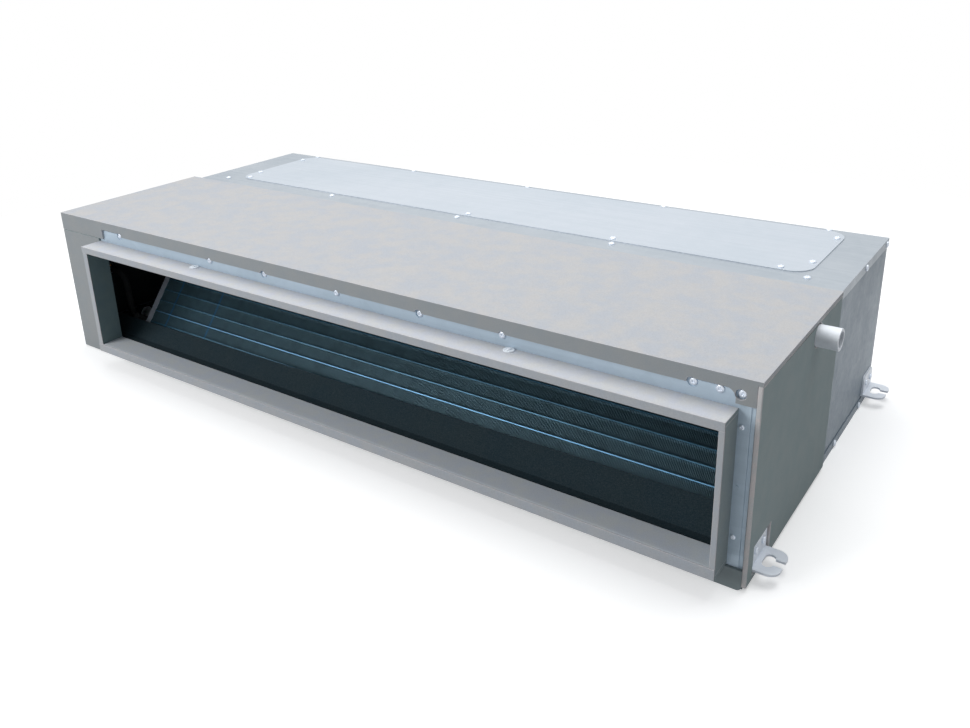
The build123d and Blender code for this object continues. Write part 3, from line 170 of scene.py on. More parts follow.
# The camera stands in front of the outlet, to the right and above, as in the reference view. Its
# place and turn were solved from the corners of the casing.
photo_width = 970
photo_height = 728
focal_pixels = 911.59
centre_pixel = (457.74, 277.33)
camera_azimuth = -0.6419109
camera_dip = 0.3528287
camera_roll = -0.0374235
camera_place = (0.7943, -1.0129, 0.6227)
camera_data = bpy.data.cameras.new("photo_view")
camera_data.sensor_fit = "HORIZONTAL"
camera_data.sensor_width = 36.0
camera_data.lens = camera_data.sensor_width * focal_pixels / photo_width
camera_data.shift_x = (photo_width / 2 - centre_pixel[0]) / photo_width
camera_data.shift_y = (centre_pixel[1] - photo_height / 2) / photo_width
camera = bpy.data.objects.new("photo_view", camera_data)
bpy.context.scene.collection.objects.link(camera)
bpy.context.scene.camera = camera
camera_forward = Vector((
    math.sin(camera_azimuth) * math.cos(camera_dip),
    math.cos(camera_azimuth) * math.cos(camera_dip),
    -math.sin(camera_dip),
))
camera_level = Vector((math.cos(camera_azimuth), -math.sin(camera_azimuth), 0.0))
camera_up = camera_level.cross(camera_forward)
rolled_right = camera_level * math.cos(camera_roll) + camera_up * math.sin(camera_roll)
rolled_up = camera_up * math.cos(camera_roll) - camera_level * math.sin(camera_roll)
camera_turn = Matrix((rolled_right, rolled_up, -camera_forward)).transposed()
camera.matrix_world = Matrix.Translation(camera_place) @ camera_turn.to_4x4()
bpy.context.scene.view_settings.view_transform = "Standard"

# The casing is folded from galvanised sheet steel, 1.2 mm thick, and screwed together at its flanges.
# Its zinc coat has a soft spangle, faint rolling streaks and dull smudges from handling.
def start_group(name, inputs, outputs):
    tree = bpy.data.node_groups.new(name, "ShaderNodeTree")
    for label, kind, value in inputs:
        socket = tree.interface.new_socket(name=label, in_out="INPUT", socket_type=kind)
        socket.default_value = value
    for label, kind in outputs:
        tree.interface.new_socket(name=label, in_out="OUTPUT", socket_type=kind)
    return tree, tree.nodes.new("NodeGroupInput"), tree.nodes.new("NodeGroupOutput")


def add_math(tree, operation, first, second):
    node = tree.nodes.new("ShaderNodeMath")
    node.operation = operation
    for socket, value in zip(node.inputs, (first, second)):
        if isinstance(value, bpy.types.NodeSocket):
            tree.links.new(value, socket)
        else:
            socket.default_value = value
    return node.outputs[0]


def add_noise(tree, place, scale, detail, roughness=0.5):
    node = tree.nodes.new("ShaderNodeTexNoise")
    node.inputs["Detail"].default_value = detail
    node.inputs["Roughness"].default_value = roughness
    tree.links.new(place, node.inputs["Vector"])
    if isinstance(scale, bpy.types.NodeSocket):
        tree.links.new(scale, node.inputs["Scale"])
    else:
        node.inputs["Scale"].default_value = scale
    return node.outputs["Fac"]


def add_range(tree, value, given, wanted):
    node = tree.nodes.new("ShaderNodeMapRange")
    tree.links.new(value, node.inputs["Value"])
    for label, number in zip(("From Min", "From Max", "To Min", "To Max"), (*given, *wanted)):
        if isinstance(number, bpy.types.NodeSocket):
            tree.links.new(number, node.inputs[label])
        else:
            node.inputs[label].default_value = number
    return node.outputs["Result"]


def add_blend(tree, factor, first, second):
    node = tree.nodes.new("ShaderNodeMix")
    node.data_type = "RGBA"
    tree.links.new(factor, node.inputs["Factor"])
    for socket, value in ((node.inputs["A"], first), (node.inputs["B"], second)):
        if isinstance(value, bpy.types.NodeSocket):
            tree.links.new(value, socket)
        else:
            socket.default_value = value
    return node.outputs["Result"]


def add_stretch(tree, place, stretch):
    node = tree.nodes.new("ShaderNodeMapping")
    node.inputs["Scale"].default_value = stretch
    tree.links.new(place, node.inputs["Vector"])
    return node.outputs["Vector"]


def add_bump(tree, height, strength, distance):
    node = tree.nodes.new("ShaderNodeBump")
    node.inputs["Strength"].default_value = strength
    node.inputs["Distance"].default_value = distance
    tree.links.new(height, node.inputs["Height"])
    return node.outputs["Normal"]


zinc_spangle, zinc_in, zinc_out = start_group(
    "zinc_spangle",
    [
        ("Sheet Color", "NodeSocketColor", (0.60, 0.64, 0.68, 1)),
        ("Dull Color", "NodeSocketColor", (0.50, 0.55, 0.60, 1)),
        ("Spangle Scale", "NodeSocketFloat", 70.0),
        ("Spangle Depth", "NodeSocketFloat", 0.25),
        ("Smooth", "NodeSocketFloat", 0.38),
        ("Rough", "NodeSocketFloat", 0.55),
    ],
    [("Color", "NodeSocketColor"), ("Roughness", "NodeSocketFloat"), ("Normal", "NodeSocketVector")],
)
zinc_place = zinc_spangle.nodes.new("ShaderNodeTexCoord").outputs["Object"]
zinc_cells = zinc_spangle.nodes.new("ShaderNodeTexVoronoi")
zinc_spangle.links.new(zinc_place, zinc_cells.inputs["Vector"])
zinc_spangle.links.new(zinc_in.outputs["Spangle Scale"], zinc_cells.inputs["Scale"])
zinc_cell_tone = zinc_spangle.nodes.new("ShaderNodeSeparateColor")
zinc_spangle.links.new(zinc_cells.outputs["Color"], zinc_cell_tone.inputs["Color"])
zinc_cell_share = add_math(
    zinc_spangle, "MULTIPLY", zinc_cell_tone.outputs["Red"], zinc_in.outputs["Spangle Depth"]
)
zinc_smudges = add_noise(zinc_spangle, zinc_place, scale=5.0, detail=4.0, roughness=0.6)
zinc_smudge_share = add_range(zinc_spangle, zinc_smudges, given=(0.40, 0.72), wanted=(0.0, 0.7))
rolling_stretch = (3.0, 160.0, 160.0)
zinc_rolled_place = add_stretch(zinc_spangle, zinc_place, rolling_stretch)
zinc_streaks = add_noise(zinc_spangle, zinc_rolled_place, scale=1.0, detail=2.0)
zinc_streak_share = add_range(zinc_spangle, zinc_streaks, given=(0.35, 0.70), wanted=(0.0, 0.28))
zinc_tone = add_math(zinc_spangle, "ADD", zinc_cell_share, zinc_smudge_share)
zinc_tone = add_math(zinc_spangle, "ADD", zinc_tone, zinc_streak_share)
zinc_spangle.links.new(
    add_blend(zinc_spangle, zinc_tone, zinc_in.outputs["Sheet Color"], zinc_in.outputs["Dull Color"]),
    zinc_out.inputs["Color"],
)
zinc_roughness = (zinc_in.outputs["Smooth"], zinc_in.outputs["Rough"])
zinc_spangle.links.new(
    add_range(zinc_spangle, zinc_tone, given=(0.0, 1.0), wanted=zinc_roughness), zinc_out.inputs["Roughness"]
)
zinc_ripple = add_noise(zinc_spangle, zinc_place, scale=9.0, detail=2.0)
zinc_normal = add_bump(zinc_spangle, zinc_ripple, strength=0.12, distance=0.004)
zinc_spangle.links.new(zinc_normal, zinc_out.inputs["Normal"])


def make_finish(name, group, values, metallic=0.0, specular=0.5):
    material = bpy.data.materials.new(name)
    material.use_nodes = True
    tree = material.node_tree
    shader = tree.nodes["Principled BSDF"]
    shader.inputs["Metallic"].default_value = metallic
    shader.inputs["Specular IOR Level"].default_value = specular
    effect = tree.nodes.new("ShaderNodeGroup")
    effect.node_tree = group
    for label, value in values.items():
        effect.inputs[label].default_value = value
    for given, wanted in (("Color", "Base Color"), ("Roughness", "Roughness"), ("Normal", "Normal")):
        tree.links.new(effect.outputs[given], shader.inputs[wanted])
    return material


def dress(material, *nodes):
    for node in nodes:
        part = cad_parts[node]
        part.data.materials.clear()
        part.data.materials.append(material)


# The zinc coat comes in three copies, each lighter or darker for how light falls on its faces: painted shade
# on the top sheet, painted light on the front and the collar, and a darker painted shade on the sides,
# bottom and rear.
galvanised_top_painted_shade = make_finish("galvanised_top_painted_shade", zinc_spangle, {
    "Sheet Color": (0.40, 0.44, 0.48, 1),
    "Dull Color": (0.32, 0.36, 0.40, 1),
}, metallic=0.3)
galvanised_front_painted_light = make_finish("galvanised_front_painted_light", zinc_spangle, {
    "Sheet Color": (0.53, 0.635, 0.73, 1),
    "Dull Color": (0.42, 0.515, 0.60, 1),
}, metallic=0.3)
galvanised_side_painted_shade = make_finish("galvanised_side_painted_shade", zinc_spangle, {
    "Sheet Color": (0.170, 0.215, 0.262, 1),
    "Dull Color": (0.130, 0.172, 0.210, 1),
}, metallic=0.25)
dress(galvanised_top_painted_shade, "top_panel")
dress(galvanised_front_painted_light, "front_panel", "outlet_collar")
dress(galvanised_side_painted_shade, "left_side_panel", "right_side_panel", "bottom_panel", "rear_panel")

# The sheets inside the casing carry the fans, the filters and the pump. They are cut from the same
# stock as the casing, and kept cleaner by it.
galvanised_inside = make_finish("galvanised_inside", zinc_spangle, {
    "Sheet Color": (0.50, 0.54, 0.58, 1),
    "Dull Color": (0.38, 0.42, 0.46, 1),
    "Spangle Scale": 90.0,
}, metallic=0.35)
dress(galvanised_inside, "fan_deck", "filter_rails", "pump_bracket")

# The fan access cover is a flat galvanised sheet with rounded corners, screwed down over the fans.
# Its coat is the brightest on the unit.
bright_cover_sheet = make_finish("bright_cover_sheet", zinc_spangle, {
    "Sheet Color": (0.51, 0.555, 0.61, 1),
    "Dull Color": (0.44, 0.49, 0.54, 1),
    "Spangle Depth": 0.15,
}, metallic=0.25)
dress(bright_cover_sheet, "fan_access_cover")

# The coil section is wrapped in closed-cell foam, 5 mm thick, glued to the sheets. Its skin is mottled
# beige and blue-grey, with fine pores and shallow dents, and its cut edges are a little rounded.
foam_skin, foam_in, foam_out = start_group(
    "foam_skin",
    [
        ("Warm Color", "NodeSocketColor", (0.485, 0.480, 0.480, 1)),
        ("Cool Color", "NodeSocketColor", (0.440, 0.460, 0.495, 1)),
        ("Patch Scale", "NodeSocketFloat", 40.0),
        ("Pore Scale", "NodeSocketFloat", 900.0),
        ("Pore Depth", "NodeSocketFloat", 0.5),
    ],
    [("Color", "NodeSocketColor"), ("Roughness", "NodeSocketFloat"), ("Normal", "NodeSocketVector")],
)
foam_place = foam_skin.nodes.new("ShaderNodeTexCoord").outputs["Object"]
foam_patches = add_noise(foam_skin, foam_place, foam_in.outputs["Patch Scale"], detail=5.0, roughness=0.6)
foam_patch_share = add_range(foam_skin, foam_patches, given=(0.38, 0.62), wanted=(0.0, 1.0))
foam_patch_color = add_blend(
    foam_skin, foam_patch_share, foam_in.outputs["Warm Color"], foam_in.outputs["Cool Color"]
)
foam_pore_shade = (0.16, 0.17, 0.18, 1)
foam_pores = add_noise(foam_skin, foam_place, foam_in.outputs["Pore Scale"], detail=2.0)
foam_pore_share = add_range(foam_skin, foam_pores, given=(0.30, 0.62), wanted=(0.16, 0.0))
foam_skin.links.new(
    add_blend(foam_skin, foam_pore_share, foam_patch_color, foam_pore_shade), foam_out.inputs["Color"]
)
foam_skin.links.new(
    add_range(foam_skin, foam_pores, given=(0.3, 0.7), wanted=(0.92, 0.78)), foam_out.inputs["Roughness"]
)
foam_dents = add_noise(foam_skin, foam_place, scale=30.0, detail=3.0)
foam_relief = add_math(foam_skin, "MULTIPLY", foam_pores, foam_in.outputs["Pore Depth"])
foam_relief = add_math(foam_skin, "ADD", foam_relief, foam_dents)
foam_normal = add_bump(foam_skin, foam_relief, strength=0.35, distance=0.001)
foam_skin.links.new(foam_normal, foam_out.inputs["Normal"])
grey_foam = make_finish("grey_foam", foam_skin, {}, specular=0.25)
# The side sheets' foam is a darker, greener copy of the grey foam, painted shade for the sides.
side_shade_foam = make_finish("side_shade_foam", foam_skin, {
    "Warm Color": (0.33, 0.385, 0.385, 1),
    "Cool Color": (0.30, 0.365, 0.37, 1),
}, specular=0.25)
# A darker copy of the grey foam for faces that look forward, painted shade.
front_shade_foam = make_finish("front_shade_foam", foam_skin, {
    "Warm Color": (0.335, 0.35, 0.355, 1),
    "Cool Color": (0.315, 0.34, 0.355, 1),
}, specular=0.25)
# A lighter copy of the grey foam for the rounded edges, a painted highlight.
edge_highlight_foam = make_finish("edge_highlight_foam", foam_skin, {
    "Warm Color": (0.56, 0.55, 0.555, 1),
    "Cool Color": (0.52, 0.53, 0.56, 1),
}, specular=0.25)
# A paler, pinker copy for the cut faces: the pink tint is the foam core's own colour, and the extra
# brightness is painted light.
cut_core_painted_light_foam = make_finish("cut_core_painted_light_foam", foam_skin, {
    "Warm Color": (0.68, 0.63, 0.62, 1),
    "Cool Color": (0.61, 0.61, 0.61, 1),
    "Patch Scale": 80.0,
}, specular=0.2)
merge_distance = 0.00002
flat_angle = math.radians(1)
corner_angle = math.radians(40)
edge_steps = 3
facing_share = 0.9
sheet_edge_radius = 0.0012


def settle_normals(mesh):
    totals = [Vector() for _ in mesh.vertices]
    for face in mesh.polygons:
        for number in face.vertices:
            totals[number] += face.normal * face.area
    mesh.normals_split_custom_set_from_vertices([total.normalized() for total in totals])


def cut_soft_edges(node, name, finish, edge_radius, front_finish=None, edge_finish=None):
    mesh = bpy.data.meshes.new(name)
    shape = bmesh.new()
    shape.from_mesh(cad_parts[node].data)
    bmesh.ops.remove_doubles(shape, verts=shape.verts, dist=merge_distance)
    bmesh.ops.dissolve_limit(
        shape, angle_limit=flat_angle, use_dissolve_boundaries=False, verts=shape.verts, edges=shape.edges,
    )
    corners = [edge for edge in shape.edges if edge.is_manifold and edge.calc_face_angle(0.0) > corner_angle]
    bmesh.ops.bevel(
        shape, geom=corners, offset=edge_radius, offset_type="OFFSET", segments=edge_steps, profile=0.5,
        affect="EDGES", clamp_overlap=True, material=1,
    )
    for face in shape.faces:
        face.smooth = True
    shape.to_mesh(mesh)
    shape.free()
    settle_normals(mesh)
    # Slot 1 holds the bevel faces and slot 2 the faces that look forward. The finishes handed in for them
    # are lighter or darker copies: painted highlight on the bevels, and painted shade or painted light on
    # the front faces, as each call gives.
    for face_slot_finish in (finish, edge_finish or finish, front_finish or finish):
        mesh.materials.append(face_slot_finish)
    for face in mesh.polygons:
        if face.material_index == 0 and face.normal.y < -facing_share:
            face.material_index = 2
    piece = bpy.data.objects.new(name, mesh)
    bpy.context.scene.collection.objects.link(piece)
    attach(piece, "casing")
    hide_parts(node)


# The top sheet's front band gets painted shade and its bevels a painted highlight; the left sheet's front
# faces get painted shade; the right sheet's front faces and bevels get the paler cut-foam colour, part core
# tint and part painted light.
cut_soft_edges("top_insulation", "top_foam_sheet", grey_foam, sheet_edge_radius, front_shade_foam, edge_highlight_foam)
cut_soft_edges("left_side_insulation", "left_foam_sheet", side_shade_foam, sheet_edge_radius, front_shade_foam)
cut_soft_edges("right_side_insulation", "right_foam_sheet", side_shade_foam, sheet_edge_radius, cut_core_painted_light_foam, cut_core_painted_light_foam)

# The collar's foam is cut from four strips that are glued round the flange. The long ones run over
# the full width, and the short ones stand between them, a little behind.
collar_foam = make_finish("collar_foam", foam_skin, {
    "Warm Color": (0.53, 0.535, 0.54, 1),
    "Cool Color": (0.50, 0.52, 0.57, 1),
    "Patch Scale": 60.0,
}, specular=0.25)
# A darker copy of the collar foam for the faces that look forward, painted shade.
rim_shade_foam = make_finish("rim_shade_foam", foam_skin, {
    "Warm Color": (0.46, 0.475, 0.49, 1),
    "Cool Color": (0.43, 0.46, 0.50, 1),
}, specular=0.25)
shaded_foam = make_finish("shaded_foam", foam_skin, {
    "Warm Color": (0.27, 0.315, 0.32, 1),
    "Cool Color": (0.25, 0.30, 0.315, 1),
}, specular=0.25)
wrap_low, wrap_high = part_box("collar_insulation")
wrap_shape = bmesh.new()
wrap_wall = 0.005
wrap_rim = 0.002
wrap_set_back = 0.0007
wrap_edge_radius = 0.0009
mouth_bottom = 0.039
mouth_top = 0.1918
mouth_left = -0.4628
mouth_right = 0.5418


def lay_strip(outline, place):
    ends = [[wrap_shape.verts.new(place(*corner, end)) for corner in outline] for end in (0, 1)]
    wrap_shape.faces.new(ends[0])
    wrap_shape.faces.new(list(reversed(ends[1])))
    for number in range(len(outline)):
        ahead = (number + 1) % len(outline)
        wrap_shape.faces.new((ends[0][ahead], ends[0][number], ends[1][number], ends[1][ahead]))


for outer, inner, rim in (
    (wrap_high.z, wrap_high.z - wrap_wall, mouth_top), (wrap_low.z, wrap_low.z + wrap_wall, mouth_bottom),
):
    lay_strip([
        (wrap_low.y, rim), (wrap_low.y, outer), (wrap_high.y, outer), (wrap_high.y, inner),
        (wrap_low.y + wrap_rim, inner), (wrap_low.y + wrap_rim, rim),
    ], lambda y, z, end: (wrap_high.x if end else wrap_low.x, y, z))
for outer, inner, rim in (
    (wrap_low.x, wrap_low.x + wrap_wall, mouth_left), (wrap_high.x, wrap_high.x - wrap_wall, mouth_right),
):
    front = wrap_low.y + wrap_set_back
    lay_strip([
        (front, rim), (front, outer), (wrap_low.y + wrap_rim, outer), (wrap_low.y + wrap_rim, rim),
    ], lambda y, x, end: (x, y, mouth_top if end else mouth_bottom))
    lay_strip([
        (wrap_low.y + wrap_rim, outer), (wrap_high.y, outer), (wrap_high.y, inner),
        (wrap_low.y + wrap_rim, inner),
    ], lambda y, x, end: (x, y, wrap_high.z - wrap_wall if end else wrap_low.z + wrap_wall))
bmesh.ops.recalc_face_normals(wrap_shape, faces=wrap_shape.faces)
bmesh.ops.bevel(
    wrap_shape, geom=list(wrap_shape.edges), offset=wrap_edge_radius, offset_type="OFFSET",
    segments=edge_steps, profile=0.5, affect="EDGES", clamp_overlap=True, material=3,
)
for face in wrap_shape.faces:
    face.smooth = True
wrap_mesh = bpy.data.meshes.new("collar_foam_wrap")
wrap_shape.to_mesh(wrap_mesh)
wrap_shape.free()
settle_normals(wrap_mesh)
for wrap_finish in (collar_foam, shaded_foam, rim_shade_foam, edge_highlight_foam):
    wrap_mesh.materials.append(wrap_finish)
# Faces that look right get the shaded foam and faces that look forward the rim foam, both painted shade; the
# bevels get the edge foam, a painted highlight.
for face in wrap_mesh.polygons:
    if face.normal.x > facing_share:
        face.material_index = 1
    elif face.material_index == 0 and face.normal.y < -facing_share:
        face.material_index = 2
collar_foam_wrap = bpy.data.objects.new("collar_foam_wrap", wrap_mesh)
bpy.context.scene.collection.objects.link(collar_foam_wrap)
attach(collar_foam_wrap, "casing")
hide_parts("collar_insulation")

# The sill at the bottom of the mouth is a strip of paler foam, and thin dark foam lines the inside of
# the collar. Both are glued in.
sill_foam = make_finish("sill_foam", foam_skin, {
    "Warm Color": (0.61, 0.64, 0.66, 1),
    "Cool Color": (0.58, 0.62, 0.68, 1),
    "Patch Scale": 60.0,
}, specular=0.25)
sill_edge_radius = 0.0014
cut_soft_edges("collar_sill", "collar_foam_sill", sill_foam, sill_edge_radius)
duct_foam = make_finish("duct_foam", foam_skin, {
    "Warm Color": (0.165, 0.232, 0.240, 1),
    "Cool Color": (0.145, 0.215, 0.235, 1),
}, specular=0.3)
dress(duct_foam, "collar_inner_lining")

# The bottom cover of the coil section is a dark coated sheet with a rounded front lip. It is screwed
# up under the drain pan.
dark_coated_sheet = make_finish("dark_coated_sheet", zinc_spangle, {
    "Sheet Color": (0.245, 0.29, 0.30, 1),
    "Dull Color": (0.19, 0.23, 0.24, 1),
    "Smooth": 0.45,
    "Rough": 0.6,
})
cut_soft_edges("bottom_cover", "bottom_cover_sheet", dark_coated_sheet, sheet_edge_radius)

# The coil's chamber is lined with thin black foam, glued to the sheets, which keeps the cold in and
# the sound down.
black_foam = make_finish("black_foam", foam_skin, {
    "Warm Color": (0.010, 0.015, 0.016, 1),
    "Cool Color": (0.008, 0.014, 0.017, 1),
}, specular=0.2)
dress(black_foam, "chamber_lining")

# The drain pan is moulded from dense foam with a black skin. It lies under the coil, on the bottom
# cover, and falls towards the drain.
pan_skin = make_finish("pan_skin", foam_skin, {
    "Warm Color": (0.011, 0.025, 0.032, 1),
    "Cool Color": (0.008, 0.023, 0.032, 1),
    "Patch Scale": 18.0,
    "Pore Depth": 0.2,
}, specular=0.15)
dress(pan_skin, "drain_pan")

# The coil is a block of thin aluminium fins with a blue coat, pressed on to copper tubes. Dust and
# small dents change the coat's colour from place to place.
moulded_grain, moulded_in, moulded_out = start_group(
    "moulded_grain",
    [
        ("Plastic Color", "NodeSocketColor", (0.80, 0.81, 0.82, 1)),
        ("Dusty Color", "NodeSocketColor", (0.62, 0.62, 0.60, 1)),
        ("Grain Scale", "NodeSocketFloat", 700.0),
        ("Base Roughness", "NodeSocketFloat", 0.45),
    ],
    [("Color", "NodeSocketColor"), ("Roughness", "NodeSocketFloat"), ("Normal", "NodeSocketVector")],
)
moulded_place = moulded_grain.nodes.new("ShaderNodeTexCoord").outputs["Object"]
moulded_dust = add_noise(moulded_grain, moulded_place, scale=40.0, detail=4.0, roughness=0.6)
moulded_dust_share = add_range(moulded_grain, moulded_dust, given=(0.48, 0.72), wanted=(0.0, 0.5))
moulded_color = add_blend(
    moulded_grain, moulded_dust_share, moulded_in.outputs["Plastic Color"], moulded_in.outputs["Dusty Color"]
)
moulded_grain.links.new(moulded_color, moulded_out.inputs["Color"])
moulded_speckle = add_noise(moulded_grain, moulded_place, moulded_in.outputs["Grain Scale"], detail=2.0)
moulded_speckle_share = add_range(moulded_grain, moulded_speckle, given=(0.3, 0.7), wanted=(-0.06, 0.10))
moulded_grain.links.new(
    add_math(moulded_grain, "ADD", moulded_in.outputs["Base Roughness"], moulded_speckle_share),
    moulded_out.inputs["Roughness"],
)
moulded_normal = add_bump(moulded_grain, moulded_speckle, strength=0.25, distance=0.0002)
moulded_grain.links.new(moulded_normal, moulded_out.inputs["Normal"])
fin_coat = make_finish("fin_coat", moulded_grain, {
    "Plastic Color": (0.130, 0.235, 0.290, 1),
    "Dusty Color": (0.075, 0.135, 0.165, 1),
    "Base Roughness": 0.4,
}, metallic=0.4)
# A lighter blue copy of the fin coat, a painted highlight.
highlight_fin_coat = make_finish("highlight_fin_coat", moulded_grain, {
    "Plastic Color": (0.10, 0.28, 0.47, 1),
    "Dusty Color": (0.05, 0.16, 0.30, 1),
    "Base Roughness": 0.35,
}, metallic=0.4)
collar_coat = make_finish("collar_coat", moulded_grain, {
    "Plastic Color": (0.035, 0.14, 0.23, 1),
    "Dusty Color": (0.02, 0.08, 0.14, 1),
    "Base Roughness": 0.3,
}, metallic=0.4)


def fin_corners():
    points = [vertex.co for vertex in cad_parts["coil_fins"].data.vertices]
    front_low = min(points, key=lambda point: point.y)
    front_high = max(points, key=lambda point: point.z)
    back_high = max(points, key=lambda point: point.y)
    back_low = min(points, key=lambda point: point.z)
    return [Vector((0.0, corner.y, corner.z)) for corner in (front_low, front_high, back_high, back_low)]


fin_pitch = 0.0019
fin_thickness = 0.00024
ridge_pitch = 0.019
ridge_rise = 0.0006
ridge_share = ((0.0, 0.0), (0.30, 0.0), (0.42, 0.8), (0.50, 1.0), (0.58, 0.8), (0.70, 0.0))
fin_low, fin_high, fin_back_high, fin_back_low = fin_corners()
fin_slope = (fin_high - fin_low).normalized()
fin_inward = (fin_back_low - fin_low).normalized()
fin_length = (fin_high - fin_low).length
ridge_count = round(fin_length / ridge_pitch)
fin_outline = []
for ridge in range(ridge_count):
    for along, rise in ridge_share:
        step_up = fin_slope * (ridge + along) * ridge_pitch
        fin_outline.append(fin_low + step_up + fin_inward * ridge_rise * (1 - rise))
fin_outline += [fin_high + fin_inward * ridge_rise, fin_back_high, fin_back_low]
fin_block_left, fin_block_right = (corner.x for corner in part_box("coil_fins"))
fin_count = int((fin_block_right - fin_block_left - fin_thickness) / fin_pitch)
fin_mesh = bpy.data.meshes.new("coil_fin_pack")
fin_shape = bmesh.new()
# The fins in these two spans take the lighter coat, which paints two bright highlight lines up the coil.
highlight_fin_spans = ((-0.4155, -0.4115), (-0.3185, -0.3145))
for fin in range(fin_count + 1):
    fin_x = fin_block_left + fin * fin_pitch
    first_face = len(fin_shape.faces)
    near_side = [fin_shape.verts.new((fin_x, point.y, point.z)) for point in fin_outline]
    far_side = [fin_shape.verts.new((fin_x + fin_thickness, point.y, point.z)) for point in fin_outline]
    fin_shape.faces.new(near_side)
    fin_shape.faces.new(list(reversed(far_side)))
    for place in range(len(fin_outline)):
        ahead = (place + 1) % len(fin_outline)
        fin_shape.faces.new((near_side[ahead], near_side[place], far_side[place], far_side[ahead]))
    if any(low_x < fin_x < high_x for low_x, high_x in highlight_fin_spans):
        fin_shape.faces.ensure_lookup_table()
        for face in fin_shape.faces[first_face:]:
            face.material_index = 1

# Each fin is drawn into a collar round every tube, and the collars meet in one blue sleeve. The tubes
# stand in three rows, one behind the other.
sleeve_radius = 0.0043
sleeve_steps = 20
sleeve_inset = 0.0002
tube_spacing = 0.019
tubes_in_row = 12
row_spacing = 0.0146
row_count = 3
for row in range(row_count):
    for tube in range(tubes_in_row):
        centre = fin_low + fin_slope * (tube + 0.5) * tube_spacing + fin_inward * (row + 0.5) * row_spacing
        rings = []
        for sleeve_x in (fin_block_left + sleeve_inset, fin_block_right - sleeve_inset):
            ring = []
            for step in range(sleeve_steps):
                turn = step / sleeve_steps * math.tau
                reach = (fin_slope * math.cos(turn) + fin_inward * math.sin(turn)) * sleeve_radius
                ring.append(fin_shape.verts.new((sleeve_x, centre.y + reach.y, centre.z + reach.z)))
            rings.append(ring)
        for step in range(sleeve_steps):
            beside = (step + 1) % sleeve_steps
            face = fin_shape.faces.new((rings[0][step], rings[0][beside], rings[1][beside], rings[1][step]))
            face.material_index = 2
            face.smooth = True

# Small tabs pressed out of the fins' front edges touch each other, and make a thin line along each
# tube. The line near the drain pan takes the lighter fin coat, a painted highlight.
tab_half = 0.0005
tab_depth = 0.0010
tab_inset = 0.0004
highlight_tube_line = 1
for tube in range(tubes_in_row):
    centre = fin_low + fin_slope * (tube + 0.5) * tube_spacing
    corners = [
        centre + fin_slope * up * tab_half + fin_inward * back
        for up, back in ((-1, tab_depth), (-1, 0.0), (1, 0.0), (1, tab_depth))
    ]
    near_end = [fin_shape.verts.new((fin_block_left + tab_inset, corner.y, corner.z)) for corner in corners]
    far_end = [fin_shape.verts.new((fin_block_right - tab_inset, corner.y, corner.z)) for corner in corners]
    for place in range(len(corners)):
        ahead = (place + 1) % len(corners)
        face = fin_shape.faces.new((near_end[place], near_end[ahead], far_end[ahead], far_end[place]))
        face.material_index = 1 if tube == highlight_tube_line else 2
bmesh.ops.recalc_face_normals(fin_shape, faces=fin_shape.faces)
fin_shape.to_mesh(fin_mesh)
fin_shape.free()
for fin_finish in (fin_coat, highlight_fin_coat, collar_coat):
    fin_mesh.materials.append(fin_finish)
coil_fin_pack = bpy.data.objects.new("coil_fin_pack", fin_mesh)
bpy.context.scene.collection.objects.link(coil_fin_pack)
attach(coil_fin_pack, "casing")
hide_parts("coil_fins")

# The tubes are drawn copper, bent into hairpins and expanded inside the fins. Bright zinc-plated end
# plates hold them.
copper_tube = make_finish("copper_tube", zinc_spangle, {
    "Sheet Color": (0.62, 0.30, 0.18, 1),
    "Dull Color": (0.34, 0.15, 0.09, 1),
    "Spangle Depth": 0.0,
    "Smooth": 0.28,
    "Rough": 0.5,
}, metallic=0.9)
dress(copper_tube, "coil_tubes")
bright_zinc = make_finish("bright_zinc", zinc_spangle, {
    "Sheet Color": (0.80, 0.86, 0.95, 1),
    "Dull Color": (0.68, 0.74, 0.82, 1),
    "Spangle Depth": 0.1,
    "Smooth": 0.25,
    "Rough": 0.42,
}, metallic=0.4)
dress(bright_zinc, "coil_end_plate_left", "coil_end_plate_right")

# The gas and liquid pipes wear black foam sleeves, and each ends in a turned brass flare union that
# stands out of the left side.
pipe_foam = make_finish("pipe_foam", foam_skin, {
    "Warm Color": (0.018, 0.020, 0.021, 1),
    "Cool Color": (0.014, 0.017, 0.019, 1),
}, specular=0.3)
dress(pipe_foam, "gas_pipe", "liquid_pipe")
turned_brass = make_finish("turned_brass", zinc_spangle, {
    "Sheet Color": (0.66, 0.47, 0.17, 1),
    "Dull Color": (0.48, 0.33, 0.12, 1),
    "Spangle Depth": 0.0,
    "Smooth": 0.22,
    "Rough": 0.42,
}, metallic=0.9)
dress(turned_brass, "flare_unions")

# The blowers are moulded in black plastic: a wheel with two rings of forward blades turns in a scroll
# that is made in an upper and a lower half.
black_plastic = make_finish("black_plastic", moulded_grain, {
    "Plastic Color": (0.020, 0.021, 0.024, 1),
    "Dusty Color": (0.060, 0.060, 0.058, 1),
})
dress(
    black_plastic, "left_scroll_upper", "left_scroll_lower", "right_scroll_upper", "right_scroll_lower",
    "left_blower_wheel", "right_blower_wheel",
)

# The motor is a pressed steel can on a double shaft. Two straps hold it by rubber rings on a folded
# bracket.
motor_enamel = make_finish("motor_enamel", moulded_grain, {
    "Plastic Color": (0.14, 0.15, 0.16, 1),
    "Dusty Color": (0.22, 0.22, 0.22, 1),
}, metallic=0.4)
dress(motor_enamel, "motor_housing", "motor_stator", "motor_rotor")
dress(galvanised_inside, "motor_bracket", "motor_straps")
black_rubber = make_finish("black_rubber", moulded_grain, {
    "Plastic Color": (0.012, 0.012, 0.012, 1),
    "Dusty Color": (0.05, 0.05, 0.048, 1),
    "Base Roughness": 0.7,
})
dress(black_rubber, "motor_rubber_rings")

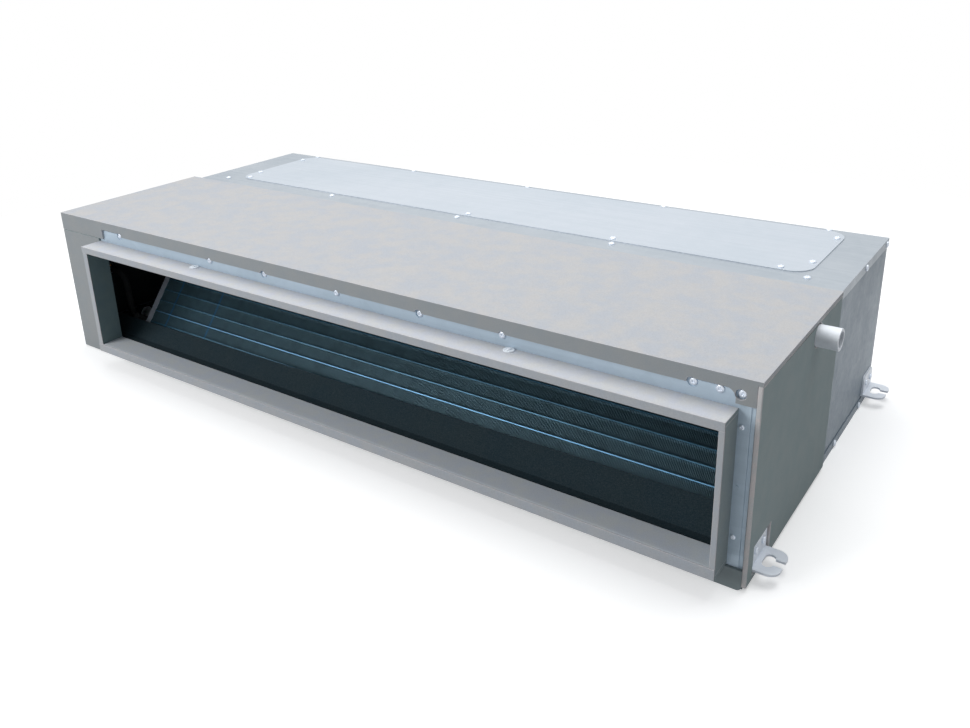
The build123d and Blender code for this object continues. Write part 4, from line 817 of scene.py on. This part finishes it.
# The pump, its float switch and its float are moulded in black plastic. A grey hose takes the water
# up to the white spout, and a white stub with a rubber plug drains the pan by itself.
dress(black_plastic, "drain_pump_housing", "pump_impeller", "float_switch", "drain_float")
grey_hose = make_finish("grey_hose", moulded_grain, {
    "Plastic Color": (0.22, 0.23, 0.24, 1),
    "Dusty Color": (0.34, 0.34, 0.33, 1),
    "Base Roughness": 0.6,
})
dress(grey_hose, "drain_hose")
white_plastic = make_finish("white_plastic", moulded_grain, {
    "Plastic Color": (0.80, 0.84, 0.89, 1),
    "Dusty Color": (0.66, 0.68, 0.69, 1),
})
dress(white_plastic, "drain_spout", "gravity_drain")
dress(black_rubber, "drain_plug")

# The electrical box is folded sheet with a screwed cover. Inside are a control board of green epoxy
# laminate and a moulded terminal block, and rubber grommets guard the cable holes.
dress(galvanised_inside, "electrical_box", "wiring_cover")
board_laminate = make_finish("board_laminate", moulded_grain, {
    "Plastic Color": (0.015, 0.11, 0.045, 1),
    "Dusty Color": (0.03, 0.16, 0.07, 1),
    "Base Roughness": 0.3,
})
dress(board_laminate, "control_board")
dress(black_plastic, "terminal_block")
dress(black_rubber, "cable_grommets")

# The filters are woven nylon nets in moulded black frames, which slide in rails behind the fans. The
# threads are flat tapes that pass on either side of the net's middle.
dress(black_plastic, "left_filter_frame", "right_filter_frame")
filter_net = make_finish("filter_net", moulded_grain, {
    "Plastic Color": (0.030, 0.036, 0.042, 1),
    "Dusty Color": (0.10, 0.10, 0.10, 1),
    "Base Roughness": 0.7,
})
thread_pitch = 0.0022
thread_width = 0.0007
thread_half_depth = thread_width / 3
thread_lift = 0.00025


def weave_net(node, name, body):
    low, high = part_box(node)
    middle_y = (low.y + high.y) / 2
    shape = bmesh.new()
    upright_count = int((high.x - low.x) / thread_pitch)
    level_count = int((high.z - low.z) / thread_pitch)

    def lay_thread(x0, x1, z0, z1, y):
        corners = [
            shape.verts.new((x, y + side * thread_half_depth, z))
            for side in (-1, 1) for x, z in ((x0, z0), (x1, z0), (x1, z1), (x0, z1))
        ]
        for loop in ((0, 1, 2, 3), (7, 6, 5, 4), (0, 4, 5, 1), (1, 5, 6, 2), (2, 6, 7, 3), (3, 7, 4, 0)):
            shape.faces.new([corners[number] for number in loop])

    for count in range(upright_count + 1):
        x = low.x + count * thread_pitch
        lay_thread(x, min(x + thread_width, high.x), low.z, high.z, middle_y - thread_lift)
    for count in range(level_count + 1):
        z = low.z + count * thread_pitch
        lay_thread(low.x, high.x, z, min(z + thread_width, high.z), middle_y + thread_lift)
    bmesh.ops.recalc_face_normals(shape, faces=shape.faces)
    mesh = bpy.data.meshes.new(name)
    shape.to_mesh(mesh)
    shape.free()
    mesh.materials.append(filter_net)
    net = bpy.data.objects.new(name, mesh)
    bpy.context.scene.collection.objects.link(net)
    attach(net, body)
    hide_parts(node)


weave_net("left_filter_mesh", "left_filter_net", "left_filter")
weave_net("right_filter_mesh", "right_filter_net", "right_filter")

# Two open hooks on each side hang the unit from threaded rods. They are pressed from zinc-plated
# steel and fixed flat to the sides.
# The hooks' coat is set near white and almost without metal, painted light that makes the shaded hooks
# bright.
hook_zinc_painted_light = make_finish("hook_zinc_painted_light", zinc_spangle, {
    "Sheet Color": (0.90, 0.94, 1.0, 1),
    "Dull Color": (0.80, 0.85, 0.92, 1),
    "Spangle Depth": 0.1,
    "Smooth": 0.3,
    "Rough": 0.5,
}, metallic=0.05)
dress(hook_zinc_painted_light, "left_hanging_hooks", "right_hanging_hooks")


# The screws are pan heads with a cross recess and a thin flange pressed under the head, zinc-plated.
# Each one stands where the casing has its screw, at the size of that screw's head.
def find_screws():
    shape = bmesh.new()
    shape.from_mesh(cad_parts["pan_head_screws"].data)
    bmesh.ops.remove_doubles(shape, verts=shape.verts, dist=merge_distance)
    waiting = set(shape.verts)
    screws = []
    while waiting:
        edge_of_search = [waiting.pop()]
        island = list(edge_of_search)
        while edge_of_search:
            vertex = edge_of_search.pop()
            for edge in vertex.link_edges:
                other = edge.other_vert(vertex)
                if other in waiting:
                    waiting.remove(other)
                    edge_of_search.append(other)
                    island.append(other)
        points = [vertex.co.copy() for vertex in island]
        low = Vector(min(point[axis] for point in points) for axis in range(3))
        high = Vector(max(point[axis] for point in points) for axis in range(3))
        middle = (low + high) / 2
        sizes = high - low
        axis = min(range(3), key=lambda number: abs(sizes[number - 1] - sizes[number - 2]))
        spreads = [
            math.hypot(*((point - middle)[number] for number in range(3) if number != axis))
            for point in points
        ]
        wide = [point for point, spread in zip(points, spreads) if spread > screw_shank_r]
        head_side = sum(point[axis] - middle[axis] for point in wide) / len(wide)
        outward = Vector(0.0 if number != axis else math.copysign(1.0, head_side) for number in range(3))
        head_top = middle.copy()
        head_top[axis] = high[axis] if head_side > 0 else low[axis]
        screws.append((head_top, outward, max(spreads) / head_radius))
    shape.free()
    return sorted(screws, key=lambda screw: tuple(screw[0]))


screw_shank_r = 0.0022
head_radius = 0.0042
head_height = 0.0024
flange_height = 0.0006
recess_radius = 0.0021
recess_half_width = 0.00055
recess_depth = 0.0013
head_rings = 14
head_spokes = 48
dome_fullness = 0.6
driven_turn = 1.7
rim_angle = math.radians(40)


def head_point(ring, spoke):
    share = ring / head_rings
    radius = head_radius * math.sin(share * math.pi / 2)
    height = flange_height + (head_height - flange_height) * math.cos(share * math.pi / 2) ** dome_fullness
    turn = spoke / head_spokes * math.tau
    across = radius * math.cos(turn)
    along = radius * math.sin(turn)
    if radius < recess_radius and min(abs(across), abs(along)) < recess_half_width:
        height -= recess_depth * (1 - (radius / recess_radius) ** 2)
    return Vector((across, along, height - head_height))


def add_screw_head(shape, place, outward, size, twist):
    turn = outward.to_track_quat("Z", "Y").to_matrix() @ Matrix.Rotation(twist, 3, "Z") * size
    centre = shape.verts.new(place + turn @ head_point(0, 0))
    rings = []
    for ring in range(1, head_rings + 1):
        rings.append([
            shape.verts.new(place + turn @ head_point(ring, spoke)) for spoke in range(head_spokes)
        ])
    foot = [shape.verts.new(corner.co - outward * flange_height * size) for corner in rings[-1]]
    rings.append(foot)
    for spoke in range(head_spokes):
        beside = (spoke + 1) % head_spokes
        shape.faces.new((centre, rings[0][spoke], rings[0][beside]))
        for inner, outer in zip(rings, rings[1:]):
            shape.faces.new((inner[spoke], outer[spoke], outer[beside], inner[beside]))
    shape.faces.new(list(reversed(foot)))


screw_shape = bmesh.new()
for number, (head_top, outward, size) in enumerate(find_screws()):
    add_screw_head(screw_shape, head_top, outward, size, number * driven_turn)
screw_mesh = bpy.data.meshes.new("cross_head_screws")
for face in screw_shape.faces:
    face.smooth = True
screw_shape.to_mesh(screw_mesh)
screw_shape.free()
screw_mesh.set_sharp_from_angle(angle=rim_angle)
screw_mesh.materials.append(bright_zinc)
cross_head_screws = bpy.data.objects.new("cross_head_screws", screw_mesh)
bpy.context.scene.collection.objects.link(cross_head_screws)
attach(cross_head_screws, "casing")
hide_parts("pan_head_screws")

# White plastic push plugs close two spare holes in the collar's flange. Each is pressed in by its
# split stem.
dress(white_plastic, "collar_plugs")
